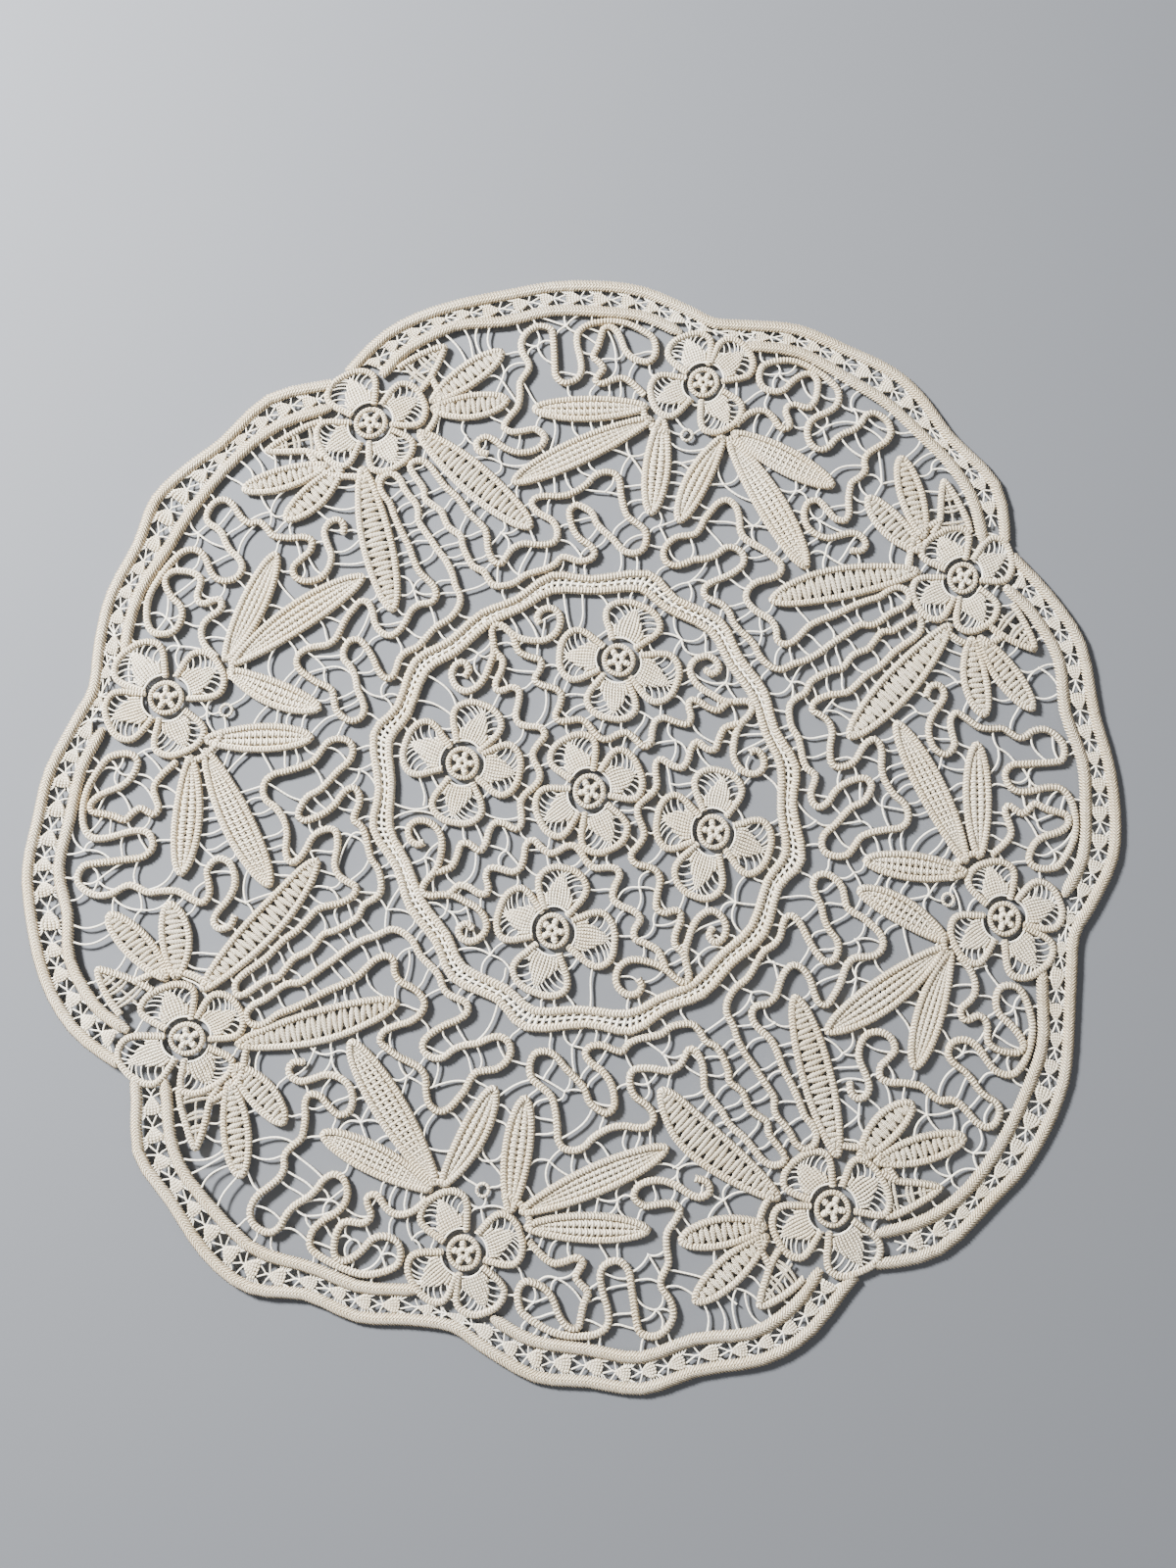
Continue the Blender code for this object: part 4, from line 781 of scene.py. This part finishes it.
def sewFan(centre, angle, length, width, rim, quarter):
    count = fanSettings["ribs"]
    lean = hand.choice((-1.0, 1.0)) * hand.uniform(*fanSettings["lean"])
    grow = (length - fanSettings["foot"]) / (fanSettings["petalLength"] - fanSettings["foot"])
    start = fanSettings["start"]
    reach = (fanSettings["reach"] - start) * grow
    wide = fanSettings["halfWidth"] * width / fanSettings["petalWidth"]
    inner, outer = fanSettings["roundness"]
    tip = len(rim) // 2

    def bodyEnd(u):
        # the body is leaf-shaped: its middle ribs run nearly to the rim
        return start + reach * max((1 - abs(u) ** inner) ** outer, fanSettings["leastReach"])

    for k in range(count):
        u = -1 + 2 * k / (count - 1)
        end = bodyEnd(u) + hand.uniform(-fanSettings["ragged"], fanSettings["ragged"])
        out = np.linspace(start - 0.3 * u * u, end, 8)
        across = u * wide * fanWaist(out - start) + lean * (out - start)
        girth = fanSettings["girth"] * np.array([0.7, 0.9, 1.0, 1.0, 1.0, 1.0, 0.9, 0.5])
        addPath(fans, laid(petalSpot(centre, angle, out, across), quarter), girth, fanSettings["height"])
    # a thread arch over the ring carries the body, and threads run from its edge to the rim
    share = np.linspace(-1, 1, 9)
    rise = start - 0.1 - combSettings["archRise"] * share ** 2
    arch = petalSpot(centre, angle, rise, share * wide * combSettings["archSpan"])
    addPath(combs, laid(arch, quarter), combSettings["girth"] * combSettings["arch"], combSettings["height"])
    for side in (-1, 1):
        threads = fanSettings["threads"] - (1 if side * lean > 0 else 0)
        for j in range(threads):
            t = j / (threads - 1)
            u = side * (1 - 0.93 * t ** 1.2)
            out = bodyEnd(u) - 0.7 if j else start + 1.0
            across = u * wide * fanWaist(out - start) + lean * (out - start)
            head = petalSpot(centre, angle, [out], [across])[0]
            near = int(round(tip * (combSettings["rimStart"] + combSettings["rimRun"] * t)))
            foot = rim[near if side > 0 else len(rim) - 1 - near]
            gap = max(np.hypot(*(foot - head)), combSettings["rimGap"] + 0.2)
            stop = head + (foot - head) * (1 - combSettings["rimGap"] / gap)
            line = curved(head, stop, -side * (combSettings["bow"][0] - combSettings["bow"][1] * t))
            addPath(combs, laid(line, quarter), combSettings["girth"], combSettings["height"])


for quarter in range(4):
    for flower in (midFlower, cornerFlower, innerFlower):
        sewFlower(flower, quarter)
sewFlower(centreFlower, 0)
petalRims = stitchUp("petalRims", [(rims, flowerSettings, ivoryCord)])
stitchUp("petalFans", [(fans, fanSettings, fanWeave)])
stitchUp("petalCombs", [(combs, combSettings, whiteThread)])
stitchUp("ringWheels", [(wheels, wheelSettings, fanWeave)])

# leaves: a corded rim, woven lengthwise beside the mid flowers and trellised beside the corner flowers
leafSettings = {
    "rimGirth": 1.65, "innerRim": 0.86, "fullest": 1.15, "roundness": 0.55, "height": 1.3, "stitch": 0.66,
    "perRib": 2, "ribDepth": 0.22, "slant": 0.6, "flatness": 0.78, "sides": 6, "unevenness": 0.035,
    "seed": 14,
}
weaveSettings = {
    "ribs": 2, "wideLeaf": 12.7, "leastRoom": 0.3, "overlap": 0.14, "height": 1.3, "stitch": 0.6, "perRib": 4,
    "ribDepth": 0.46, "slant": 0.0, "flatness": 0.7, "sides": 8, "unevenness": 0.05, "seed": 15,
}
trellisSettings = {
    "pitch": 2.15, "lean": 0.42, "tuck": 0.55, "fullRoom": 2.6, "girth": 1.3, "height": 1.4, "stitch": 0.6,
    "perRib": 2, "ribDepth": 0.2, "slant": 0.3, "flatness": 0.85, "sides": 6, "unevenness": 0.06, "seed": 16,
}
rims = newBook()
weave = newBook()
trellis = newBook()


def leafSpot(leaf, share, across):
    # a place on a leaf: share of the way from base to tip, and millimetres to the left
    base = np.array(leaf[:2], float)
    run = np.array(leaf[2:4], float) - base
    side = np.array([-run[1], run[0]]) / np.hypot(run[0], run[1])
    share = np.asarray(share, float)[:, None]
    across = np.asarray(across, float)[:, None]
    return base + share * run + (4 * leaf[5] * share * (1 - share) + across) * side


def leafHalf(share, width):
    share = np.clip(share, 0.0, 1.0)
    return width / 2 * np.sin(math.pi * share ** leafSettings["fullest"]) ** leafSettings["roundness"]


def leafRim(leaf):
    length = math.hypot(leaf[2] - leaf[0], leaf[3] - leaf[1])
    ends = leafSettings["rimGirth"] / length
    share = np.linspace(0, 1, 15)
    half = leafHalf(share, leaf[4] - 2 * leafSettings["rimGirth"])
    share = ends + share * (1 - 2 * ends)
    points = np.concatenate((leafSpot(leaf, share, half), leafSpot(leaf, share[-2:0:-1], -half[-2:0:-1])))
    return evenRoute(smoothRoute(points, True, 2), 1.0, True)


def leafRoom(share, leaf):
    # half of the open width between a leaf's two rims
    girth = leafSettings["rimGirth"]
    return leafHalf(share, leaf[4] - 2 * girth) - leafSettings["innerRim"] * girth


def sewRim(leaf, quarter):
    line = laid(leafRim(leaf), quarter)
    addPath(rims, line, leafSettings["rimGirth"], leafSettings["height"], True)
    offerForBars(line, leafSettings["rimGirth"], outwardSide(line), True)


def sewWoven(leaf, quarter):
    sewRim(leaf, quarter)
    share = np.linspace(0.03, 0.97, 32)
    room = leafRoom(share, leaf)
    wide = room > weaveSettings["leastRoom"]
    share = share[wide]
    room = room[wide]
    count = weaveSettings["ribs"] + (1 if leaf[4] > weaveSettings["wideLeaf"] else 0)
    for k in range(count):
        u = (2 * k + 1) / count - 1
        girth = room / count + weaveSettings["overlap"]
        addPath(weave, laid(leafSpot(leaf, share, u * room), quarter), girth, weaveSettings["height"])


def sewTrellis(leaf, quarter):
    sewRim(leaf, quarter)
    length = math.hypot(leaf[2] - leaf[0], leaf[3] - leaf[1])
    step = trellisSettings["pitch"] / length
    lean = trellisSettings["lean"] / length
    way = 1
    for share in np.arange(0.05, 0.95, step):
        room = float(leafRoom(np.array([share]), leaf)[0])
        if room < trellisSettings["tuck"]:
            continue
        spread = np.array([-1.0, -0.72, -0.4, 0.0, 0.4, 0.72, 1.0])
        across = spread * (room + trellisSettings["tuck"])
        at = share + way * lean * spread
        fat = min(room / trellisSettings["fullRoom"], 1.0)
        girth = trellisSettings["girth"] * (1 - fat * np.array([0.6, 0.44, 0.06, 0.0, 0.06, 0.44, 0.6]))
        addPath(trellis, laid(leafSpot(leaf, at, across), quarter), girth, trellisSettings["height"])
        way = -way


# the small triangular leaf: both rims from the base to the tip
wedgeRims = {
    "left": ([(-83.5, 182.8), (-79, 186.3), (-73, 189.8), (-67.5, 192.2), (-64.6, 192.6)],
             [(-73.5, 172.8), (-70.6, 177), (-68, 182.5), (-65.8, 188.2), (-64.6, 192.6)]),
    "right": ([(145.3, 113), (148.6, 119), (149.4, 127), (150.2, 133), (151.2, 136.6)],
              [(161.6, 114.5), (160.2, 120), (157.2, 126.6), (154, 132.6), (151.2, 136.6)]),
}
crescentSettings = {
    "rows": (0.2, 0.46, 0.7), "girth": 0.72, "apart": 1.15, "inset": 0.9, "bow": 1.3, "secondBow": 0.3,
    "link": (0.02, 0.86), "linkGirth": 0.5, "parts": 24,
}


def sewWedge(which, quarter):
    one = evenRoute(smoothRoute(wedgeRims[which][0], parts=4), 1.0)
    two = evenRoute(smoothRoute(wedgeRims[which][1], parts=4), 1.0)
    line = laid(np.concatenate((one, two[-2::-1])), quarter)
    addPath(rims, line, leafSettings["rimGirth"], leafSettings["height"])
    offerForBars(line, leafSettings["rimGirth"], outwardSide(line))
    one = evenRoute(one, math.hypot(*(one[0] - one[-1])) / crescentSettings["parts"])
    two = evenRoute(two, math.hypot(*(two[0] - two[-1])) / crescentSettings["parts"])
    count = min(len(one), len(two))
    middle = (one[:count] + two[:count]) / 2
    forward = middle[-1] - middle[0]
    forward /= np.hypot(*forward)
    for row in crescentSettings["rows"]:
        at = int(row * (count - 1))
        for layer in (0, 1):
            start = one[at] + forward * layer * crescentSettings["apart"]
            end = two[at] + forward * layer * crescentSettings["apart"]
            run = end - start
            inset = crescentSettings["inset"] / max(np.hypot(*run), 1)
            share = np.linspace(inset, 1 - inset, 7)[:, None]
            bow = 4 * share * (1 - share) * min(crescentSettings["bow"], np.hypot(*run) / 8)
            line = start + run * share - forward * bow * (crescentSettings["secondBow"] if layer else 1)
            girth = crescentSettings["girth"] * np.array([0.7, 0.9, 1.05, 1.1, 1.05, 0.9, 0.7])
            addPath(trellis, laid(line, quarter), girth, trellisSettings["height"])
    first, last = crescentSettings["link"]
    link = middle[int(first * count):int(last * count)]
    addPath(trellis, laid(link, quarter), crescentSettings["linkGirth"], trellisSettings["height"])


# the stitches that gather the leaf bases of a spray beside its flower
gathers = [
    [(20.5, 165), (22.5, 158), (28.5, 153), (32, 152)], [(53, 148.5), (58, 148), (62, 149.5)],
    [(-73, 150), (-68, 157.5), (-66, 164), (-66, 171), (-70, 179)],
    [(134.5, 95), (136, 101), (136.5, 107), (139, 113), (149, 119.5)],
]
for quarter in range(4):
    for route in gathers:
        addPath(rims, laid(smoothRoute(route), quarter), leafSettings["rimGirth"], leafSettings["height"])
    for leaf in midLeftLeaves + midRightLeaves:
        sewWoven(leaf, quarter)
    for leaf in cornerLeftLeaves + cornerRightLeaves:
        sewTrellis(leaf, quarter)
    sewWedge("left", quarter)
    sewWedge("right", quarter)
leafRims = stitchUp("leafRims", [(rims, leafSettings, ivoryCord)])
stitchUp("leafWeave", [(weave, weaveSettings, ivoryWeave)])
stitchUp("leafTrellis", [(trellis, trellisSettings, ivoryWeave)])

# border insertion: woven hearts between the tapes, each with comb threads and a crossed tip
heartSettings = {
    "repeat": 12.0, "ribs": 5, "length": 7.0, "spread": 0.35, "girth": 0.8, "height": 1.2, "stitch": 0.56,
    "perRib": 2, "ribDepth": 0.28, "slant": 0.3, "flatness": 0.9, "sides": 6, "unevenness": 0.08, "seed": 18,
    "leastGap": 2.2, "fullGap": 7.5, "mostFit": 1.15, "lean": 0.06, "combs": 5, "combGirth": 0.285,
    "overlap": 0.3, "endRoom": 6.0,
}
hearts = newBook()
heartCombs = newBook()


def sewBand(outer, targets):
    # places between the outer tape and what it is joined to, a millimetre apart along it
    outer = evenRoute(outer, 1.0)
    spots = np.concatenate([line for line, half in targets])
    halves = np.concatenate([np.full(len(line), half) for line, half in targets])
    gaps = np.sqrt(((outer[:, None] - spots[None]) ** 2).sum(-1)) - halves[None]
    best = gaps.argmin(axis=1)
    reach = spots[best] - outer
    away = np.hypot(*reach.T)
    heading = reach / away[:, None]
    near = outer + heading * (tapeSettings["outerGirth"] - heartSettings["overlap"])
    far = outer + heading * (away - halves[best] + heartSettings["overlap"])[:, None]
    return smoothed(near, 7), smoothed(far, 7)


def bandSpot(band, at, share):
    # share 0 is at the outer tape and 1 at the inner one
    near, far = band
    ruler = np.arange(len(near))
    at = np.asarray(at, float)
    share = np.asarray(share, float)[:, None]
    a = np.column_stack([np.interp(at, ruler, near[:, k]) for k in (0, 1)])
    b = np.column_stack([np.interp(at, ruler, far[:, k]) for k in (0, 1)])
    return a + (b - a) * share


def sewHeart(band, at):
    gap = float(np.hypot(*(bandSpot(band, [at + 3], [1])[0] - bandSpot(band, [at + 3], [0])[0])))
    if gap < heartSettings["leastGap"]:
        return
    fit = min(gap / heartSettings["fullGap"], heartSettings["mostFit"])
    lean = hand.uniform(-heartSettings["lean"], heartSettings["lean"])
    height = heartSettings["height"]
    for k in range(heartSettings["ribs"]):
        u = -1 + 2 * k / (heartSettings["ribs"] - 1)
        a = at + np.linspace(0.5 + 0.5 * u * u, heartSettings["length"], 6)
        v = 0.5 + lean + u * heartSettings["spread"] * np.array([0.86, 1.0, 0.92, 0.7, 0.42, 0.16])
        girth = heartSettings["girth"] * fit * np.array([0.8, 1.05, 1.15, 1.05, 0.85, 0.55])
        addPath(hearts, bandSpot(band, a, v), girth, height)
    thread = heartSettings["combGirth"]
    tip = at + heartSettings["length"] - 0.2
    for side in (-1, 1):
        edge = 0.5 + 0.5 * side
        for j in range(heartSettings["combs"]):
            a0 = at + 0.5 + 0.85 * j
            v0 = 0.5 + lean + side * heartSettings["spread"] * (0.95 - 0.13 * j)
            a1 = at - 1.3 + 1.25 * j
            comb = bandSpot(band, [a0, (a0 + a1) / 2 - 0.35, a1], [v0, 0.45 * v0 + 0.55 * edge, edge])
            addPath(heartCombs, comb, thread, height)
        fork = bandSpot(band, [tip, tip + 1.0, tip + 1.7], [0.5 + lean, 0.5 + 0.25 * side, edge])
        addPath(heartCombs, fork, thread * 1.1, height)
        cross = bandSpot(band, [tip + 1.8, tip + 3.4, tip + 5.4],
                         [0.5 + lean / 2, 0.5 + 0.12 * side, 0.5 + 0.24 * side])
        addPath(heartCombs, cross, thread * 1.1, height)
    stem = bandSpot(band, [tip, tip + 1.0, tip + 2.0], [0.5 + lean, 0.5, 0.5])
    addPath(heartCombs, stem, thread * 1.3, height)


for quarter in range(4):
    targets = [(evenRoute(line, 0.5), tapeSettings["innerGirth"]) for line in innerLines[quarter]]
    for angle, length, width in midFlower[2][:2]:
        rim = laid(petalRim(midFlower[:2], angle, length, width), quarter)
        targets.append((rim, flowerSettings["rimGirth"]))
    band = sewBand(outerLines[quarter], targets)
    last = len(band[0]) - heartSettings["endRoom"] - heartSettings["repeat"] / 2
    for at in np.arange(heartSettings["endRoom"], last, heartSettings["repeat"]):
        sewHeart(band, at)
borderHearts = stitchUp("borderHearts", [(hearts, heartSettings, fanWeave)])
stitchUp("borderCombs", [(heartCombs, combSettings, whiteThread)])

# needle-made bars: from every cord straight across to its neighbour, a few millimetres apart
barSettings = {
    "pitch": 4.9, "girth": 0.42, "height": 1.2, "sag": 0.25, "least": 1.0, "most": 16.5, "apart": 4.3,
    "jitter": 0.34, "bulge": 0.15, "wave": 0.25, "square": 0.62, "clear": 0.7, "window": 22.0, "tuck": 0.4,
    "forkLeast": 4.5, "startsApart": 2.6, "endsApart": 2.0, "stitch": 1.2, "perRib": 5, "ribDepth": 0.04,
    "slant": 0.0, "flatness": 0.95, "sides": 5, "unevenness": 0.05, "seed": 23,
}
needleRing = {"place": (40, 150.5), "radius": 2.4, "girth": 0.72, "bars": 5}
bars = newBook()
smallRings = newBook()
for quarter in range(4):
    ringLine = laid(ringRoute(needleRing["place"], needleRing["radius"], 14), quarter)
    addPath(smallRings, ringLine, needleRing["girth"], barSettings["height"], True)
    offerForBars(ringLine, needleRing["girth"], outwardSide(ringLine), True)


def barStarts():
    # places along every cord where a bar may start, each with its heading
    starts = []
    for line, half, side in edgesForBars:
        if side == "none":
            continue
        route = evenRoute(line, 0.5)
        every = barSettings["pitch"] if half > 1 else 2 * math.pi * needleRing["radius"] / needleRing["bars"]
        step = max(int(round(every / 0.5)), 1)
        for i in range(int(hand.integers(2, 2 + step)), len(route) - 2, step):
            i = int(np.clip(i + hand.integers(-1, 2), 2, len(route) - 3))
            heading = route[i + 2] - route[i - 2]
            length = np.hypot(*heading)
            if length < 0.1:
                continue
            heading /= length
            left = np.array([-heading[1], heading[0]])
            for way in ((1, -1) if side == "both" else (1,) if side == "left" else (-1,)):
                sway = hand.uniform(-1, 1) * barSettings["jitter"]
                out = left * way * math.cos(sway) + heading * math.sin(sway)
                starts.append((*route[i], *out, half))
    return np.array(starts)


def firstHits(starts):
    # how far each start's straight line runs before it meets a cord, and that cord's half width
    pieces = []
    for line, half, side in edgesForBars:
        route = evenRoute(line, 1.6)
        pieces.append(np.column_stack((route[:-1], route[1:], np.full(len(route) - 1, half))))
    pieces = np.concatenate(pieces)
    run = pieces[:, 2:4] - pieces[:, :2]
    never = 1e9
    far = np.full(len(starts), never)
    half = np.zeros(len(starts))
    square = np.zeros(len(starts))
    for first in range(0, len(starts), 64):
        part = starts[first:first + 64]
        low = part[:, :2].min(axis=0) - barSettings["window"]
        high = part[:, :2].max(axis=0) + barSettings["window"]
        near = ((pieces[:, :2] > low) & (pieces[:, :2] < high)).all(axis=1)
        a = pieces[near, :2]
        r = run[near]
        h = pieces[near, 4]
        o = part[:, None, :2]
        d = part[:, None, 2:4]
        cross = d[..., 0] * r[None, :, 1] - d[..., 1] * r[None, :, 0]
        cross = np.where(np.abs(cross) < 1e-9, 1e-9, cross)
        gap = a[None] - o
        along = (gap[..., 0] * r[None, :, 1] - gap[..., 1] * r[None, :, 0]) / cross
        share = (gap[..., 0] * d[..., 1] - gap[..., 1] * d[..., 0]) / cross
        good = (share >= -0.02) & (share <= 1.02) & (along > part[:, None, 4] + barSettings["clear"])
        along = np.where(good, along, never)
        best = along.argmin(axis=1)
        rows = np.arange(len(part))
        far[first:first + 64] = along[rows, best]
        half[first:first + 64] = h[best]
        square[first:first + 64] = np.abs(cross[rows, best]) / np.hypot(*r[best].T)
    return far, half, square


def crossing(p, q, a, b):
    # share of the way from p to q where it crosses each line a to b, or more than 1
    d = q - p
    r = b - a
    cross = d[0] * r[:, 1] - d[1] * r[:, 0]
    cross = np.where(np.abs(cross) < 1e-9, 1e-9, cross)
    gap = a - p
    along = (gap[:, 0] * r[:, 1] - gap[:, 1] * r[:, 0]) / cross
    share = (gap[:, 0] * d[1] - gap[:, 1] * d[0]) / cross
    return np.where((share > 0) & (share < 1) & (along > 0) & (along < 1), along, 2.0)


knotSettings = {
    "arms": 5, "leastArms": 3, "least": 3.6, "most": 12.0, "apart": 10.5, "armMost": 15.0, "open": 24.0,
    "sway": 0.16, "square": 0.4, "radius": 0.42, "girth": 0.5, "bulge": 0.24,
}


def openSpots():
    # the middles of the widest gaps, where several bars meet in a knot
    routes = [evenRoute(line, 2.0) for line, half, side in edgesForBars]
    spots = np.concatenate(routes)
    headings = np.concatenate([np.gradient(route, axis=0) for route in routes])
    allowed = {"both": 0, "left": 1, "right": -1, "none": 9}
    halves = np.repeat([half for line, half, side in edgesForBars], [len(route) for route in routes])
    ways = np.repeat([allowed[side] for line, half, side in edgesForBars], [len(route) for route in routes])
    ruler = np.arange(-222, 223, 3.0)  # looked for every 3 mm over the sheet
    places = np.array([(x, y) for x in ruler for y in ruler])
    kept = []
    for first in range(0, len(places), 400):
        part = places[first:first + 400]
        gaps = np.hypot(*(part[:, None] - spots[None]).transpose(2, 0, 1)) - halves
        best = gaps.argmin(axis=1)
        room = gaps.min(axis=1)
        reach = part - spots[best]
        turning = headings[best, 0] * reach[:, 1] - headings[best, 1] * reach[:, 0]
        good = (ways[best] == 0) | ((np.abs(ways[best]) == 1) & (ways[best] * turning > 0))
        good &= (room > knotSettings["least"]) & (room < knotSettings["most"])
        kept += [(float(r), *place) for r, place in zip(room[good], part[good])]
    kept.sort(reverse=True)
    chosen = []
    for room, x, y in kept:
        if all(math.hypot(x - a, y - b) > knotSettings["apart"] for a, b in chosen):
            chosen.append((x, y))
    return chosen


placed = np.zeros((0, 4))
knots = 0
knotHeight = barSettings["height"] - barSettings["sag"]
for x, y in openSpots():
    first = hand.uniform(0, 2 * math.pi)
    sway = hand.uniform(-knotSettings["sway"], knotSettings["sway"], knotSettings["arms"])
    aims = first + (np.arange(knotSettings["arms"]) + sway) * 2 * math.pi / knotSettings["arms"]
    arms = np.array([(x, y, math.cos(aim), math.sin(aim), 0.0) for aim in aims])
    far, half, square = firstHits(arms)
    fits = (far - half < knotSettings["armMost"]) & (square > knotSettings["square"])
    if fits.sum() < knotSettings["leastArms"] or far.max() > knotSettings["open"]:
        continue  # an arm that meets nothing means that the spot lies outside the lace
    knots += 1
    for arm, reach, thick in zip(arms[fits], far[fits], half[fits]):
        end = arm[:2] + arm[2:4] * (reach - thick + barSettings["tuck"])
        line = curved(arm[:2], end, hand.uniform(-1, 1) * knotSettings["bulge"], 8)
        addPath(bars, line, barSettings["girth"], knotHeight)
        placed = np.concatenate((placed, [[*arm[:2], *end]]))
    addPath(bars, ringRoute((x, y), knotSettings["radius"], 7), knotSettings["girth"], knotHeight, True)
print("knots placed:", knots)

starts = barStarts()
far, half, square = firstHits(starts)
openLength = far - starts[:, 4] - half
order = [i for i in np.argsort(openLength)
         if barSettings["least"] < openLength[i] < barSettings["most"] and square[i] > barSettings["square"]]
for i in order:
    x, y, dx, dy, startHalf = starts[i]
    near = startHalf - barSettings["tuck"]
    away = far[i] - half[i] + barSettings["tuck"]
    p = np.array([x + dx * near, y + dy * near])
    q = np.array([x + dx * away, y + dy * away])
    if len(placed):
        share = crossing(p, q, placed[:, :2], placed[:, 2:]).min()
        if share <= 1:
            # it ends on the bar that it meets, as a fork
            if share * openLength[i] < barSettings["forkLeast"]:
                continue
            q = p + (q - p) * share
        middle = (placed[:, :2] + placed[:, 2:]) / 2
        if np.hypot(*(middle - (p + q) / 2).T).min() < barSettings["apart"]:
            continue
        ends = np.concatenate((placed[:, :2], placed[:, 2:]))
        if np.hypot(*(ends - p).T).min() < barSettings["startsApart"]:
            continue
        if share > 1 and np.hypot(*(ends - q).T).min() < barSettings["endsApart"]:
            continue
    placed = np.concatenate((placed, [[*p, *q]]))
    line = curved(p, q, barSettings["bulge"] * hand.uniform(-1, 1), 8)
    share = np.linspace(0, 1, 8)
    wave = np.sin(share * 2 * math.pi) * hand.uniform(-barSettings["wave"], barSettings["wave"])
    run = (q - p) / np.hypot(*(q - p))
    line = line + wave[:, None] * np.array([-run[1], run[0]])
    sag = barSettings["sag"] * 4 * share * (1 - share)
    addPath(bars, line, barSettings["girth"], barSettings["height"] - sag)
print("bars placed:", len(placed), "of", len(starts))
stitchUp("needleBars", [(bars, barSettings, whiteThread)])
stitchUp("needleRings", [(smallRings, wheelSettings, fanWeave)])

# the CAD parts that the stitched pieces take the place of are hidden
cords = ["ground_outer", "ground_medallion", "frame_outer_cord", "frame_inner_cord"]
cords += [f"ground_outer_{which}_{side}" for which in ("left", "right") for side in sides]
cords += [f"outer_tape_{side}" for side in sides]
cords += [f"inner_tape_{which}_{side}" for which in ("left", "right") for side in sides]
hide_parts(*cords)
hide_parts("frame_ladder")
flowers = [f"flower_{which}_{side}" for which in ("mid", "corner", "inner") for side in sides]
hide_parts("flower_centre", *flowers)
sprays = [f"spray_{which}_{way}_{side}"
          for which in ("mid", "corner") for way in ("left", "right") for side in sides]
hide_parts(*sprays)
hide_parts(*[f"filling_{side}" for side in sides])

# floor
floorSettings = {"size": 3.0, "drop": 0.0002, "colour": (0.13, 0.137, 0.15), "roughness": 0.85}
floorMesh = bpy.data.meshes.new("floor")
reach = floorSettings["size"] / 2
corners = [(x * reach, y * reach, -floorSettings["drop"]) for x, y in ((-1, -1), (1, -1), (1, 1), (-1, 1))]
floorMesh.from_pydata(corners, [], [(0, 1, 2, 3)])
floor = bpy.data.objects.new("floor", floorMesh)
bpy.context.scene.collection.objects.link(floor)
paint = bpy.data.materials.new("greyFloor")
paint.use_nodes = True
paint.node_tree.nodes["Principled BSDF"].inputs["Base Color"].default_value = (*floorSettings["colour"], 1)
paint.node_tree.nodes["Principled BSDF"].inputs["Roughness"].default_value = floorSettings["roughness"]
floorMesh.materials.append(paint)

# soft studio light: a key from the upper left, a broad fill, and a dim surround
lightSettings = {
    "key": ((-0.9, 0.66, 0.74), 0.24, 112.0), "fill": ((0.9, -0.5, 1.1), 1.4, 5.0),
    "surround": (0.93, 0.93, 0.94), "surroundStrength": 0.34,
}
for name in ("key", "fill"):
    place, size, power = lightSettings[name]
    lamp = bpy.data.lights.new(name, "AREA")
    lamp.shape = "DISK"
    lamp.size = size
    lamp.energy = power
    holder = bpy.data.objects.new(name, lamp)
    holder.location = place
    holder.rotation_euler = Vector([-v for v in place]).to_track_quat("-Z", "Y").to_euler()
    bpy.context.scene.collection.objects.link(holder)
world = bpy.data.worlds.new("surround")
world.use_nodes = True
world.node_tree.nodes["Background"].inputs["Color"].default_value = (*lightSettings["surround"], 1)
world.node_tree.nodes["Background"].inputs["Strength"].default_value = lightSettings["surroundStrength"]
bpy.context.scene.world = world

# camera: the photograph looks almost straight down from half a metre
viewSettings = {
    "distance": 500.0, "tilt": 5.5, "focalPixels": 1250.0, "longSide": 1600, "sensorHeight": 36.0,
    "middlePixel": (600, 800), "sheetPixel": (601, 826),
}
tilt = math.radians(viewSettings["tilt"])
heading = np.array([0, math.sin(tilt), -math.cos(tilt)])
upward = np.array([0, math.cos(tilt), math.sin(tilt)])
rightward = np.array([1.0, 0, 0])
offset = np.subtract(viewSettings["sheetPixel"], viewSettings["middlePixel"]) / viewSettings["focalPixels"]
eye = -viewSettings["distance"] * (heading + offset[0] * rightward - offset[1] * upward)
eye[:2] -= lay["sheetMiddle"]
camera = bpy.data.cameras.new("camera")
camera.sensor_fit = "VERTICAL"
camera.sensor_height = viewSettings["sensorHeight"]
camera.lens = viewSettings["sensorHeight"] * viewSettings["focalPixels"] / viewSettings["longSide"]
camera.clip_start = 0.01
cameraHolder = bpy.data.objects.new("camera", camera)
cameraHolder.location = eye * mm
cameraHolder.rotation_euler = (tilt, 0, 0)
bpy.context.scene.collection.objects.link(cameraHolder)
bpy.context.scene.camera = cameraHolder
print("floor, light and camera set")
